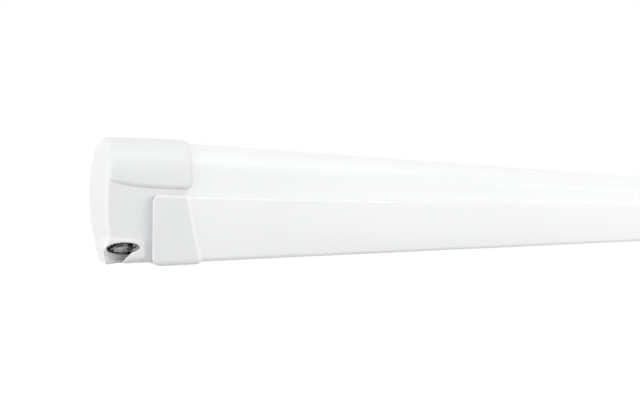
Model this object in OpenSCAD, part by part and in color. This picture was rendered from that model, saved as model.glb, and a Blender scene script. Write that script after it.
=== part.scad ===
// Roll-out cassette awning for a camper wall, shown closed.
// X runs along the awning, the wall is the plane Y = 0 and the front faces -Y, +Z is up.
// The origin is the middle of the wall fixing line.

/* [Overall] */
// Length over the two end caps
awning_length = 2600; // [2300:10:3200]
// Height of the cassette, underside to crown
case_height = 152.5; // [138:0.5:172]
// Height of the wall fixing line above the underside
fixing_height = 75; // [72:1:80]

/* [Cassette profile] */
// Wall of the cassette extrusion
case_wall = 2.2; // [1.8:0.1:2.6]
// Height of the soft crease in the front, as a share of the cassette's height
crease_share = 0.767; // [0.74:0.005:0.79]
// Distance of the crown from the wall
crown_depth = 40; // [34:1:46]
// How far the lead rail stands in front of the cassette face
rail_proud = 11; // [10:0.5:13]
// How far the rail's nose covers the edge of the cassette face
lip_overlap = 1.7; // [1.2:0.1:2]
// Length of the cassette extrusion hidden by each end cap's side room
cap_room = 54; // [52:1:60]
// Thickness of the cast end plates
plate_t = 6; // [5:0.5:7]

/* [Wall brackets] */
// Gap between the wall and the cassette that a bracket fills
bracket_t = 6; // [6:0.5:8]
// Length of one wall bracket
bracket_len = 120; // [100:5:160]
// Distance of the outer brackets from the ends of the awning
bracket_inset = 260; // [220:10:320]
// Spacing of the wall screws along the awning
screw_spacing_x = 70; // [60:5:80]
// Spacing of the wall screws up the wall
screw_spacing_z = 44; // [36:2:48]
// Diameter of the wall screw holes
screw_hole_d = 7; // [6:0.5:8]

/* [Roller and fabric] */
// Outside diameter of the roller tube
roller_d = 56; // [50:1:60]
// Wall of the roller tube
roller_wall = 2; // [1.5:0.1:2.5]
// Thickness of the awning fabric
fabric_t = 0.5; // [0.4:0.05:0.6]
// Gap between the full roll and the cassette's back
roll_gap = 4; // [3:0.5:6]
// Diameter of the roller's end journals
journal_d = 20; // [18:1:22]

/* [Winch] */
// Forward lean of the winch shaft from straight down
winch_lean = 18; // [16:1:19]
// Distance between the worm and wheel axes
gear_distance = 22; // [21:0.5:23]
// Teeth of the worm wheel
wheel_teeth = 11; // [11:1:13]
// Height of the winch mouth above the underside
mouth_height = 16; // [15:1:18]
// Bore of the winch mouth
mouth_bore_d = 16; // [14:1:17]

/* [Folding arms] */
// Width of the arm profile
arm_w = 26; // [24:1:28]
// Height of the arm profile
arm_h = 34; // [32:1:36]
// Wall of the arm profile
arm_wall = 2.5; // [2:0.1:3]
// Gap between the folded arms
arm_gap = 8; // [7:0.5:10]
// Downward slope of the awning when it rolls out
pitch = 10; // [8:0.5:11]
// Height of the shoulder axis above the underside
shoulder_height = 39; // [37:1:41]
// Distance of the shoulder axis from the end of the awning
shoulder_inset = 130; // [125:5:150]
// Distance of the folded elbow axis from the middle
elbow_x = 50; // [45:1:70]
// Diameter of the arm pins
arm_pin_d = 10; // [8:0.5:11]

/* [Lead rail] */
// Height of the lead rail, as a share of the cassette's height
rail_share = 0.521; // [0.512:0.001:0.53]
// Wall of the lead rail extrusion
rail_wall = 2; // [1.8:0.1:2.2]
// Distance from the end of the awning to the end of the rail cap
rail_inset = 57.5; // [57:0.5:64]
// Length of a rail cap at its top edge
rail_cap_top = 37.5; // [34:0.5:46]
// Length of a rail cap at its bottom edge
rail_cap_bottom = 55.5; // [52:0.5:66]
// How far the rail cap stands proud of the rail
rail_cap_proud = 2; // [1.5:0.1:2.5]

/* [Legs] */
// Width of the leg tube
leg_w = 14; // [13:0.5:15]
// Height of the leg tube
leg_h = 26; // [25:0.5:27]
// Wall of the leg tube
leg_wall = 1.4; // [1.2:0.1:1.6]
// Length of the leg tube
leg_tube = 1180; // [1000:10:1200]
// Height of the stored leg's axis above the underside
leg_height = 25; // [24:0.5:26]
// Diameter of the leg's pivot pin
leg_pin_d = 8; // [6:0.5:9]

/* [End caps] */
// Length of the hood that wraps the cassette, from the awning's end
hood_len = 106; // [96:1:116]
// How far the hood's inner rim stands proud of the cassette
hood_proud = 4.5; // [3.5:0.1:5.5]
// Crown of the cap's outer side
side_crown = 9; // [8:0.5:12]
// Wall of the end caps
cap_wall = 2.5; // [2:0.1:3]
// Rounding between the cap's side and its front
edge_r = 6; // [5:0.5:9]

/* [Hidden] */
$fn = 48;
eps = 0.5;

// Clearances of the fits
run_fit = 0.06;
slide_fit = 0.3;
seat_fit = 0.1;
swing_gap = 0.8;
layer_gap = 0.4;

// Colours
paint_white = [0.93, 0.94, 0.94];
plastic_white = [0.92, 0.92, 0.92];
cast_grey = [0.62, 0.63, 0.65];
steel = [0.55, 0.54, 0.53];
alu = [0.78, 0.79, 0.80];
black_rubber = [0.08, 0.08, 0.08];
cloth_grey = [0.55, 0.57, 0.60];

// Heights
z_low = -fixing_height;
z_crown = case_height - fixing_height;
z_crease = crease_share * case_height - fixing_height;
floor_rise = 3;
z_floor = z_low + floor_rise;
z_floor_in = z_floor + case_wall;
z_rail_top = z_low + rail_share * case_height;
z_lip = z_rail_top - lip_overlap;
nose_step = 3;
z_rail_deck = z_rail_top - nose_step;

// Depths, counted from the wall towards the front
y_back = -bracket_t;
y_back_in = y_back - case_wall;

// Folding arms: layers, axes and link lengths
knuckle_r = arm_w / 2;
knuckle_h = arm_h - 12;
ear_t = 5;
shoulder_plate = 4;
arm_pin_r = arm_pin_d / 2;
arm_pitch = arm_w + arm_gap;
elbow_off = arm_pitch / 2;
knuckle_reach = knuckle_r * cos(pitch) + knuckle_h / 2 * sin(pitch);
y_shoulder = y_back_in - shoulder_plate - swing_gap - knuckle_reach;
z_shoulder = z_low + shoulder_height;
x_shoulder = awning_length / 2 - shoulder_inset;
arm_span = x_shoulder - elbow_x;
arm_start = knuckle_r + 11;
arm_plug = 40;
y_wrist = y_shoulder - arm_pitch * cos(pitch);
z_wrist = z_shoulder - arm_pitch * sin(pitch);
arm_front = arm_pitch + arm_w / 2;
y_arm_front = y_shoulder - arm_front * cos(pitch) - arm_h / 2 * sin(pitch);

// Lead rail and the two leg planes inside it
wrist_plate = 3.2;
rail_gap = wrist_plate + layer_gap;
y_rail_back = y_arm_front - rail_gap;
leg_back_gap = 3;
leg_gap = 1.5;
leg_front_gap = 1;
rail_lip = 4.5;
y_rear_leg = y_rail_back - leg_back_gap - leg_w / 2;
y_front_leg = y_rear_leg - leg_w - leg_gap;
y_rail_front = y_front_leg - leg_w / 2 - leg_front_gap - rail_lip;
rail_top_r = 3;
rail_low_r = 4;
nose_depth = rail_proud - 2;
x_rail = awning_length / 2 - rail_inset;
rail_end_wall = 3;
x_rail_profile = x_rail - rail_end_wall;
z_leg = z_low + leg_height;
leg_top_gap = 4;
z_rail_floor = z_leg + leg_h / 2 + leg_top_gap;

// Cassette outline
y_face = y_rail_front + rail_proud;
face_lean = 1;
y_crease = y_face + face_lean;
crown_drop = z_crown - z_crease;
crown_run = -y_crease - crown_depth;
crown_r = (crown_run * crown_run + crown_drop * crown_drop) / (2 * crown_drop);
z_crown_mid = z_crown - crown_r;
x_case = awning_length / 2 - cap_room;
y_floor_end = y_rail_back + 3;

// Groove for the fabric's front piping in the rail, and the line that the fabric follows
piping_r = 3.2;
groove_r = piping_r + 0.2;
groove_wall = 2;
y_groove = y_rail_back - 7;
z_groove = z_rail_deck - groove_r - groove_wall;
groove_slot = 3;

// Roller and the full roll of fabric
roller_r = roller_d / 2;
journal_r = journal_d / 2;
fabric_out = 2 * norm([arm_span, elbow_off]) * sin(64);
roll_r = sqrt(roller_r * roller_r + fabric_out * fabric_t / PI);
y_roller = y_back_in - roll_gap - roll_r;
z_roller = z_groove + (y_roller - y_groove) * tan(pitch) + roller_r / cos(pitch);
roller_end_gap = 4;
x_tube = x_case - roller_end_gap;
fabric_side_gap = 12;
x_fabric = x_rail_profile - rail_cap_bottom - fabric_side_gap;

// Winch: worm beside the wheel, and the mouth at the cap's lower front
x_gear = awning_length / 2 - 26;
worm_r = 5.75;
wheel_r = gear_distance - worm_r;
worm_pitch = 2 * PI * wheel_r / wheel_teeth;
worm_lead = atan(worm_pitch / (2 * PI * worm_r));
worm_core_r = 3.8;
worm_crest_r = 7.8;
wheel_root_r = gear_distance - worm_crest_r - 0.4;
wheel_tip_r = gear_distance - worm_core_r - 0.4;
wheel_w = 9;
y_worm = y_roller - gear_distance * cos(winch_lean);
z_worm = z_roller + gear_distance * sin(winch_lean);
mouth_reach = (z_worm - z_low - mouth_height) / cos(winch_lean);
worm_half = 14;
worm_top = 19;
worm_foot = 34;
shaft_r = 6;
socket_len = 26;
mouth_bore_r = mouth_bore_d / 2;
mouth_depth = 18;
mouth_r = mouth_bore_r + 5;
flare_r = mouth_r - 1.2;
flare_h = 5;
bell_h = 8;

// End caps
x_end = awning_length / 2;
x_side = x_end - side_crown;
x_cap_inner = x_rail + 3;
cap_drop = 2;
z_cap = z_floor - cap_drop;

// Points on an arc from angle a to angle b
function arc(cy, cz, r, a, b, n) =
    [for (i = [0 : n]) [cy + r * cos(a + (b - a) * i / n), cz + r * sin(a + (b - a) * i / n)]];

// Angle of the crown's circle at depth y
function crown_angle(y, r) = acos((y + crown_depth) / r);

// Points of the crown from the wall side to the front crease, moved in by g
function crown_points(y0, g) =
    let (r = crown_r - g)
    arc(-crown_depth, z_crown_mid, r, crown_angle(y0, r),
        crown_angle(y_crease + g, r), 20);

// Solid outline of the cassette's end view, moved out by g and closed at the height z_open
function case_outline(g, z_open) = concat(
    [[y_floor_end, z_floor - g], [y_back, z_floor - g]],
    crown_points(y_back, -g),
    [[y_face - g, z_open], [y_floor_end, z_open]]);

// Runs a flat outline, drawn as depth and height, along X from x0 to x1
module along_x(x0, x1) {
    translate([x0, 0, 0]) rotate([90, 0, 90]) linear_extrude(x1 - x0) children();
}

// The left piece as drawn, or its mirror image on the right
module on_side(side) {
    if (side < 0) children();
    else mirror([1, 0, 0]) children();
}

// Frame of a folded arm: the shoulder axis is Z, the arm points along X, out of the case is -Y
module arm_frame(side) {
    on_side(side) translate([-x_shoulder, y_shoulder, z_shoulder]) rotate([pitch, 0, 0]) children();
}

// Frame of the winch shaft: Z points up the shaft, Y from the worm to the roller axis
module winch_frame() {
    translate([-x_gear, y_worm, z_worm]) rotate([-winch_lean, 0, 0]) children();
}

// Rectangle with round corners, centred
module round_rect(w, h, r) {
    square([w - 2 * r, h], center = true);
    square([w, h - 2 * r], center = true);
    for (sx = [-1, 1], sy = [-1, 1])
        translate([sx * (w / 2 - r), sy * (h / 2 - r)]) circle(r);
}

// Rounded hollow section of an arm or a leg
module hollow_section(w, h, r, wall) {
    difference() {
        round_rect(w, h, r);
        round_rect(w - 2 * wall, h - 2 * wall, r - wall / 2);
    }
}

// CASSETTE

screw_port_r = 4;
screw_port_hole = 2;
end_screw_r = screw_port_hole - 0.05;

// Places of the screw ports that hold the end plates
screw_ports = [
    [y_back_in - 5, z_floor_in + 6],
    [y_back_in - 6, z_crown - 15],
    [y_crease + 8, z_crease - 6]];

hook_z = 40;
hook_t = 2;

module case_profile() {
    color(paint_white) difference() {
        along_x(-x_case, x_case) {
            difference() {
                polygon(case_outline(0, z_lip));
                polygon(concat(
                    [[y_floor_end - eps, z_floor_in], [y_back_in, z_floor_in]],
                    crown_points(y_back_in, case_wall),
                    [[y_face + case_wall, z_lip - eps], [y_floor_end - eps, z_lip - eps]]));
            }
            // Stiffening lip at the front of the floor
            translate([y_floor_end, z_floor]) square([case_wall, floor_rise + case_wall]);
            // Hook on the back that hangs on the wall brackets
            translate([-bracket_t, hook_z]) square([bracket_t - 1.5, 3]);
            translate([-1.5 - hook_t, hook_z - 8]) square([hook_t, 8 + eps]);
            for (p = screw_ports) port_wall(p);
        }
        for (p = screw_ports) port_bore(p);
    }
}

// Screw port of the extrusion, tied to the wall beside it
module port_wall(p) {
    intersection() {
        union() {
            translate(p) circle(screw_port_r);
            translate(p) rotate(p[0] < y_roller ? 150 : 0) translate([0, -screw_port_r])
                square([2 * screw_port_r, 2 * screw_port_r]);
        }
        polygon(case_outline(0, z_lip));
    }
}

module port_bore(p) {
    along_x(-x_case - eps, x_case + eps) translate(p) circle(screw_port_hole);
}

// Cast plate on the end of the extrusion, set in so that the cap's wall passes in front of it
plate_inset = cap_wall + 2 * seat_fit;

module end_plate(side) {
    color(cast_grey) on_side(side) difference() {
        along_x(-x_case - plate_t, -x_case) polygon(case_outline(-plate_inset, z_lip));
        along_x(-x_case - plate_t - eps, -x_case + eps) {
            translate([y_roller, z_roller]) circle(bush_r);
            for (p = screw_ports) translate(p) circle(end_screw_r + 0.3);
        }
    }
}

bush_r = journal_r + 6;
bush_flange_r = bush_r + 4;
bush_flange_t = 2;

// Flanged plastic bushes in the end plates, flange on the roller's side
module roller_bushes() {
    color(plastic_white) for (side = [-1, 1]) on_side(side)
        translate([-x_case, y_roller, z_roller]) rotate([0, 90, 0]) difference() {
            union() {
                translate([0, 0, -plate_t]) cylinder(r = bush_r - 0.05, h = plate_t);
                cylinder(r = bush_flange_r, h = bush_flange_t);
            }
            translate([0, 0, -plate_t - eps])
                cylinder(r = journal_r + run_fit, h = plate_t + bush_flange_t + 2 * eps);
        }
}

module end_plate_screws() {
    color(steel) for (side = [-1, 1], p = screw_ports) on_side(side)
        translate([-x_case - plate_t, p[0], p[1]]) rotate([0, 90, 0]) {
            cylinder(r = end_screw_r, h = plate_t + 20);
            translate([0, 0, -3]) cylinder(r = 4.5, h = 3);
        }
}

bracket_y = bracket_t - 0.3;
flange_t = 3.3;
flange_len = 24;
clamp_y = y_back - 12;
clamp_screw_r = 3;

// Wall brackets: a plate with a hook tongue at its top and a flange under the cassette
module wall_brackets() {
    plate_low = z_floor - flange_t - 0.2;
    plate_high = hook_z - 9;
    color(alu) for (x = [-1, 0, 1] * (x_end - bracket_inset)) translate([x, 0, 0]) difference() {
        along_x(-bracket_len / 2, bracket_len / 2) {
            translate([-bracket_y, plate_low]) square([bracket_y, plate_high - plate_low]);
            translate([-bracket_y, plate_high - eps]) square([1.8, 8 + eps]);
            translate([y_back - flange_len, plate_low]) square([flange_len + eps, flange_t]);
        }
        for (sx = [-1, 1], sz = [-1, 1])
            translate([sx * screw_spacing_x / 2, 0, sz * screw_spacing_z / 2]) rotate([90, 0, 0]) {
                translate([0, 0, -eps]) cylinder(d = screw_hole_d, h = bracket_y + 2 * eps);
                translate([0, 0, 2.5]) cylinder(r = 6.5, h = bracket_y);
            }
        for (sx = [-1, 1]) translate([sx * screw_spacing_x / 2, clamp_y, plate_low - eps])
            cylinder(r = clamp_screw_r + 0.2, h = flange_t + 2 * eps);
    }
}

// Screws that clamp the bracket flanges up against the cassette floor
module bracket_screws() {
    z_head = z_floor - flange_t - 0.2;
    color(steel) for (x = [-1, 0, 1] * (x_end - bracket_inset), sx = [-1, 1])
        translate([x + sx * screw_spacing_x / 2, clamp_y, z_head - 2.5]) {
            cylinder(r = 5.5, h = 2.5);
            cylinder(r = clamp_screw_r, h = z_floor - z_head + 2.5);
        }
}

// Rubber strip inside the cassette face, over the lead rail's deck
module cassette_seal() {
    color(black_rubber) along_x(-x_case, x_case)
        translate([y_face + case_wall + 0.3, z_lip + 1]) {
            square([2, 9]);
            translate([1, 0]) circle(1);
        }
}

// END CAPS

// End view of a cap's lower body, moved in by g
module cap_view(g) {
    r = 9;
    polygon(concat(
        [[y_back - g, z_cap + g]],
        [[y_back - g, z_crease]],
        arc(-crown_depth, z_crown_mid, crown_r - g, crown_angle(y_back - g, crown_r - g),
            crown_angle(y_crease + g, crown_r - g), 10),
        arc(y_face + g + r, z_cap + g + r, r, 180, 270, 5)));
}

// End view of the hood over the cassette, moved out by g, ending at the height z_cut
module hood_view(g, z_cut) {
    r = 7;
    polygon(concat(
        [[y_back, z_cut]],
        crown_points(y_back, -g),
        arc(y_face - g + r, z_cut + r, r, 180, 270, 5)));
}

module slice(x, t) {
    along_x(x, x + t) children();
}

// End view of the cap's side at the share s of its height, its edges moved in by g
module side_view(g, s) {
    y_mid = (y_back + y_face) / 2;
    half = (y_back - y_face) / 2;
    translate([y_mid, 0]) scale([(half - g) / half, s]) translate([-y_mid, 0]) cap_view(0);
}

// Crowned side of the left cap, moved in by g, its edges rounded by e
module cap_side_form(g, e) {
    x0 = -x_end + g;
    shrink = 2 * g / case_height;
    for (s = [0.2, 0.4, 0.55, 0.7, 0.82, 0.92])
        slice(x0 + side_crown * s * s, 0.2) side_view(e + g, s - shrink);
    slice(x0 + side_crown, 0.2) side_view(e * 0.55 + g, 0.97 - shrink);
    slice(x0 + side_crown + e * 0.35, 0.2) side_view(e * 0.15 + g, 0.99 - shrink);
}

// Body of the left cap from its crowned side to its inner end, moved in by g
module cap_body(g, e) {
    hull() {
        cap_side_form(g, e);
        slice(-x_side + e, x_side - e - x_cap_inner - g) cap_view(g);
    }
}

// Outer form of the left cap: crowned side, straight lower body and flared hood
module cap_form() {
    cap_body(0, edge_r);
    hull() {
        slice(-x_side + edge_r * 0.35, 0.2) hood_view(-1, z_crease - 19);
        slice(-x_side + edge_r, 0.2) hood_view(0.3, z_crease - 21);
        slice(-x_end + hood_len * 0.55, 0.2) hood_view(hood_proud * 0.8, z_crease - 26);
        slice(-x_end + hood_len - 3, 0.2) hood_view(hood_proud, z_crease - 28);
        slice(-x_end + hood_len - 0.2, 0.2) hood_view(hood_proud - 2, z_crease - 26);
    }
}

// Room inside the left cap, open towards the end plate
module cap_room_form() {
    cap_body(cap_wall, edge_r);
    slice(-x_case - plate_t - seat_fit, plate_t)
        polygon(case_outline(seat_fit - plate_inset, z_lip - seat_fit));
    slice(-x_case - seat_fit, hood_len) polygon(case_outline(seat_fit, z_lip - seat_fit));
}

boss_w = 60;
boss_low = cap_drop + 5.5;
boss_h = 23;
boss_proud = 3;
boss_edge = 3;
boss_inner = 23.5;
boss_depth = 20;
slot_w = 35.5;
slot_h = 13;
slot_shift = 2.2;
z_slot = z_low + mouth_height + 4;

// Raised field round the winch mouth, wrapped round the cap's front edge
module winch_boss() {
    intersection() {
        translate([0, -boss_proud, 0]) cap_body(0, boss_edge);
        translate([-x_gear + boss_inner - boss_w / 2, y_face + boss_depth, z_cap + boss_low + boss_h / 2])
            rotate([90, 0, 0]) linear_extrude(boss_depth + 2 * boss_proud) round_rect(boss_w, boss_h, 5);
    }
}

// Mouth slot, the room round the bell and the groove under it for the crank rod
module winch_opening() {
    translate([-x_gear + slot_shift, y_face + 4 * cap_wall, z_slot]) rotate([90, 0, 0])
        linear_extrude(5 * cap_wall + boss_proud) scale([slot_w / slot_h, 1]) circle(slot_h / 2);
    winch_frame() {
        translate([0, 0, -mouth_reach - 60]) cylinder(r = mouth_bore_r + 3.5, h = 61);
        translate([0, 0, -mouth_reach - 1]) cylinder(r = mouth_r + 1, h = bell_h + 5);
    }
}

module end_cap(side) {
    color(plastic_white) on_side(side) difference() {
        union() {
            cap_form();
            if (side < 0) winch_boss();
        }
        cap_room_form();
        if (side < 0) winch_opening();
    }
}

// WINCH AND GEARBOX

thread_steps = 24;
thread_turns = 2.2;

// Corner j of the thread's section at step i: root low, crest low, crest high, root high
function thread_point(i, j) =
    let (t = 360 * (i / thread_steps - thread_turns / 2),
         r = (j == 0 || j == 3) ? worm_core_r - 0.6 : worm_crest_r,
         w = ((j == 0 || j == 3) ? 2.0 : 0.8) * (j < 2 ? -1 : 1))
    [r * cos(t), r * sin(t), worm_pitch * (t + 90) / 360 + w];

// Worm thread as one closed sweep, triangles throughout
module worm_thread() {
    n = floor(thread_steps * thread_turns);
    points = [for (i = [0 : n], j = [0 : 3]) thread_point(i, j)];
    sides = [for (i = [0 : n - 1], j = [0 : 3], k = [0, 1])
        let (a = 4 * i + j, b = 4 * i + (j + 1) % 4)
        k == 0 ? [a, b, a + 4] : [b, b + 4, a + 4]];
    ends = [[0, 2, 1], [0, 3, 2], [4 * n, 4 * n + 1, 4 * n + 2], [4 * n, 4 * n + 2, 4 * n + 3]];
    polyhedron(points, concat(sides, ends), convexity = 8);
}

module worm_shaft() {
    color(steel) winch_frame() {
        worm_thread();
        translate([0, 0, -worm_half]) cylinder(r = worm_core_r, h = worm_half + worm_top);
        translate([0, 0, worm_half + 1]) cylinder(r = 5, h = worm_top - worm_half - 1);
        translate([0, 0, -mouth_reach + socket_len])
            cylinder(r = shaft_r, h = mouth_reach - socket_len - worm_half);
    }
}

// Bell-shaped mouth that takes the crank rod, its rim flared
module winch_socket() {
    neck_r = shaft_r + 3;
    color(steel) winch_frame() translate([0, 0, -mouth_reach]) rotate_extrude() polygon([
        [flare_r, 0], [mouth_r - 0.4, 0], [mouth_r, 0.6], [mouth_r, bell_h], [neck_r, bell_h + 5],
        [neck_r, socket_len], [0, socket_len], [0, mouth_depth], [mouth_bore_r, mouth_depth],
        [mouth_bore_r, flare_h]]);
}

module worm_wheel() {
    color(steel) translate([-x_gear, y_roller, z_roller]) difference() {
        union() {
            rotate([0, 90, 0]) cylinder(r = wheel_root_r, h = wheel_w + 3, center = true);
            for (k = [0 : wheel_teeth - 1]) rotate([90 - winch_lean + 360 * k / wheel_teeth, 0, 0])
                rotate([0, 0, -worm_lead]) wheel_tooth();
        }
        rotate([0, 90, 0]) cylinder(r = journal_r, h = 2 * wheel_w, center = true);
    }
}

// One straight tooth, standing on Z
module wheel_tooth() {
    rotate([90, 0, 90]) linear_extrude(wheel_w, center = true)
        polygon([[-1.9, wheel_root_r - 1], [1.9, wheel_root_r - 1], [1, wheel_tip_r], [-1, wheel_tip_r]]);
}

module gearbox_housing() {
    x_out = -x_end + 10;
    body_r = wheel_tip_r + 5;
    color(cast_grey) difference() {
        union() {
            translate([x_out, y_roller, z_roller]) rotate([0, 90, 0])
                cylinder(r = body_r, h = -x_case - plate_t - x_out);
            winch_frame() translate([0, 0, -worm_foot]) cylinder(r = 12, h = worm_foot + worm_top + 2);
        }
        translate([-x_gear, y_roller, z_roller]) rotate([0, 90, 0]) {
            cylinder(r = wheel_tip_r + 1, h = wheel_w + 6, center = true);
            cylinder(r = journal_r + 0.5, h = x_gear - x_case);
        }
        winch_frame() {
            translate([0, 0, -worm_half - 1]) cylinder(r = worm_crest_r + 0.6, h = 2 * worm_half + 2);
            cylinder(r = 5 + run_fit, h = worm_top + 0.3);
            translate([0, 0, -worm_foot - eps]) cylinder(r = shaft_r + run_fit, h = worm_foot);
        }
    }
}

// ROLLER

module roller_tube() {
    color(alu) difference() {
        along_x(-x_tube, x_tube) translate([y_roller, z_roller]) difference() {
            union() {
                circle(roller_r);
            }
            circle(roller_r - roller_wall);
        }
        // Slot for the fabric's rear piping
        along_x(-x_tube - eps, x_tube + eps) translate([y_roller, z_roller + roller_r - roller_wall - eps])
            translate([-1, 0]) square([2, roller_wall + 2 * eps]);
    }
}

module fabric_roll() {
    color(cloth_grey) translate([-x_fabric, y_roller, z_roller]) rotate([0, 90, 0]) difference() {
        cylinder(r = roll_r, h = 2 * x_fabric);
        translate([0, 0, -eps]) cylinder(r = roller_r, h = 2 * x_fabric + 2 * eps);
    }
}

plug_r = roller_r - roller_wall;
plug_len = 45;

// Plug in the end of the roller tube with its journal, reach counted outwards from the tube's end
module roller_plug(side, reach) {
    color(cast_grey) on_side(side) translate([-x_tube, y_roller, z_roller]) rotate([0, 90, 0]) {
        cylinder(r = plug_r, h = plug_len);
        translate([0, 0, -1.5]) cylinder(r = roller_r - 0.5, h = 1.5);
        translate([0, 0, -reach]) cylinder(r = journal_r, h = reach);
    }
}

// FOLDING ARMS

// Hinge eye round the axis with its neck towards the arm, bored with the given fit
module arm_eye(h, fit) {
    difference() {
        union() {
            translate([0, 0, -h / 2]) cylinder(r = knuckle_r, h = h);
            translate([0, -knuckle_r, -h / 2]) cube([arm_start, arm_w, h]);
        }
        translate([0, 0, -h]) cylinder(r = arm_pin_r + fit, h = 2 * h);
    }
}

// Plug of a casting in the end of an arm profile
module arm_plug_block(len) {
    rotate([90, 0, 90]) linear_extrude(len)
        round_rect(arm_w - 2 * arm_wall - 2 * seat_fit, arm_h - 2 * arm_wall - 2 * seat_fit, 4);
}

// Arm tube between its two castings
module arm_tube(x0, x1) {
    translate([x0, 0, 0]) rotate([90, 0, 90]) linear_extrude(x1 - x0)
        hollow_section(arm_w, arm_h, 5, arm_wall);
}

module upper_arm(side) {
    color(paint_white) arm_frame(side) arm_tube(arm_start, arm_span - arm_start);
}

module shoulder_knuckle(side) {
    color(cast_grey) arm_frame(side) {
        arm_eye(knuckle_h, run_fit);
        translate([arm_start - eps, 0, 0]) arm_plug_block(arm_plug + eps);
    }
}

// Two ears of the elbow, above and below the forearm's tongue
module elbow_fork(side) {
    tongue = knuckle_h - 4;
    color(cast_grey) arm_frame(side) {
        translate([arm_span - arm_start - arm_plug, 0, 0]) arm_plug_block(arm_plug + eps);
        difference() {
            for (s = [-1, 1]) mirror([0, 0, s < 0 ? 1 : 0]) translate([0, 0, tongue / 2 + layer_gap])
                linear_extrude(arm_h / 2 - tongue / 2 - layer_gap) {
                    translate([arm_span - arm_start, -arm_w / 2]) square([8, arm_w]);
                    elbow_lug(arm_w / 2);
                }
            translate([arm_span, -elbow_off, -arm_h]) cylinder(r = arm_pin_r + seat_fit, h = 2 * arm_h);
        }
        translate([arm_span - arm_start, -arm_w / 2, -arm_h / 2]) cube([6, arm_w, arm_h]);
    }
}

// Flat lug from the end of an arm to the elbow axis, for an arm that reaches y1 on the far side
module elbow_lug(y1) {
    translate([arm_span, -elbow_off]) circle(knuckle_r - 1);
    polygon([[arm_span - arm_start + 2, -arm_w / 2], [arm_span - arm_start + 2, y1 - 4],
        [arm_span - arm_start + 8, y1 - 4],
        [arm_span + (knuckle_r - 1) * 0.6, -elbow_off + (knuckle_r - 1) * 0.8],
        [arm_span, -elbow_off - knuckle_r + 1]]);
}

module elbow_pin(side) {
    color(steel) arm_frame(side) translate([arm_span, -elbow_off, -arm_h / 2 - 2]) {
        cylinder(r = arm_pin_r, h = arm_h + 4);
        cylinder(r = arm_pin_r + 2, h = 2);
    }
}

spring_r = 8;
spring_len = 520;

// Tension spring in the upper arm with its draw rod
module arm_spring(side) {
    x0 = arm_start + arm_plug;
    color(steel) arm_frame(side) translate([x0, 0, 0]) rotate([0, 90, 0]) {
        difference() {
            cylinder(r = spring_r, h = spring_len);
            translate([0, 0, 4]) cylinder(r = spring_r - 2.5, h = spring_len - 8);
        }
        translate([0, 0, spring_len - eps]) cylinder(r = 2, h = arm_span - 2 * x0 - spring_len + eps);
    }
}

// Frame of the forearm: its middle line is X, starting below the wrist axis
module forearm_frame(side) {
    arm_frame(side) translate([0, -arm_pitch, 0]) children();
}

module forearm(side) {
    color(paint_white) forearm_frame(side) arm_tube(arm_start, arm_span - arm_start);
}

// Tongue of the elbow, between the fork's ears
module elbow_knuckle(side) {
    tongue = knuckle_h - 4;
    color(cast_grey) forearm_frame(side) {
        translate([arm_span - arm_start - arm_plug, 0, 0]) arm_plug_block(arm_plug + eps);
        translate([arm_span - arm_start, -arm_w / 2, -arm_h / 2]) cube([4, arm_w, arm_h]);
        mirror([0, 1, 0]) difference() {
            translate([0, 0, -tongue / 2]) linear_extrude(tongue) elbow_lug(arm_w / 2);
            translate([arm_span, -elbow_off, -arm_h]) cylinder(r = arm_pin_r + run_fit, h = 2 * arm_h);
        }
    }
}

// The right wrist has a looser bore, so that the closed loop of the two arms can't bind
module wrist_knuckle(side) {
    color(cast_grey) forearm_frame(side) {
        arm_eye(knuckle_h, side < 0 ? run_fit : slide_fit);
        translate([arm_start - eps, 0, 0]) arm_plug_block(arm_plug + eps);
    }
}

// Two ears round an arm's eye, reaching back to the plane of the part that carries it
module eye_ears(reach) {
    for (s = [-1, 1]) mirror([0, 0, s < 0 ? 1 : 0]) translate([0, 0, knuckle_h / 2 + layer_gap])
        difference() {
            union() {
                cylinder(r = knuckle_r, h = ear_t);
                translate([-knuckle_r, reach > 0 ? 0 : reach, 0]) cube([2 * knuckle_r, abs(reach), ear_t]);
            }
            translate([0, 0, -eps]) cylinder(r = arm_pin_r + seat_fit, h = ear_t + 2 * eps);
        }
}

module shoulder_bracket(side) {
    ear_top = knuckle_h / 2 + layer_gap + ear_t;
    color(cast_grey) difference() {
        union() {
            arm_frame(side) eye_ears(40);
            on_side(side)
                translate([-x_shoulder - knuckle_r - 8, y_back_in - shoulder_plate, z_shoulder - ear_top - 2])
                    cube([2 * knuckle_r + 16, shoulder_plate, 2 * ear_top + 6]);
        }
        on_side(side) translate([-x_shoulder - case_height / 2, y_back_in, -case_height])
            cube([case_height, case_height, 2 * case_height]);
    }
}

module shoulder_pins() {
    ear_top = knuckle_h / 2 + layer_gap + ear_t;
    color(steel) for (side = [-1, 1]) arm_frame(side) translate([0, 0, -ear_top - 2]) {
        cylinder(r = arm_pin_r, h = 2 * ear_top + 3);
        cylinder(r = arm_pin_r + 2, h = 2);
    }
}

// LEAD RAIL

// End view of the rail's outside, moved out by g
module rail_outline(g) {
    polygon(concat(
        [[y_rail_back + g, z_low - g], [y_rail_back + g, z_rail_deck + g],
         [y_rail_front + nose_depth + g, z_rail_deck + g],
         [y_rail_front + nose_depth + g, z_rail_top + g]],
        arc(y_rail_front + rail_top_r, z_rail_top - rail_top_r, rail_top_r + g, 90, 180, 6),
        arc(y_rail_front + rail_low_r, z_low + rail_low_r, rail_low_r + g, 180, 270, 6)));
}

// Space for the two stored legs, open below and behind
module leg_channel() {
    polygon([
        [y_rail_front + rail_lip, z_low - 10], [y_rail_front + rail_lip, z_low + 3],
        [y_rail_front + rail_wall, z_low + 7], [y_rail_front + rail_wall, z_rail_floor],
        [y_rail_back + 10, z_rail_floor], [y_rail_back + 10, z_low - 10]]);
}

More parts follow.
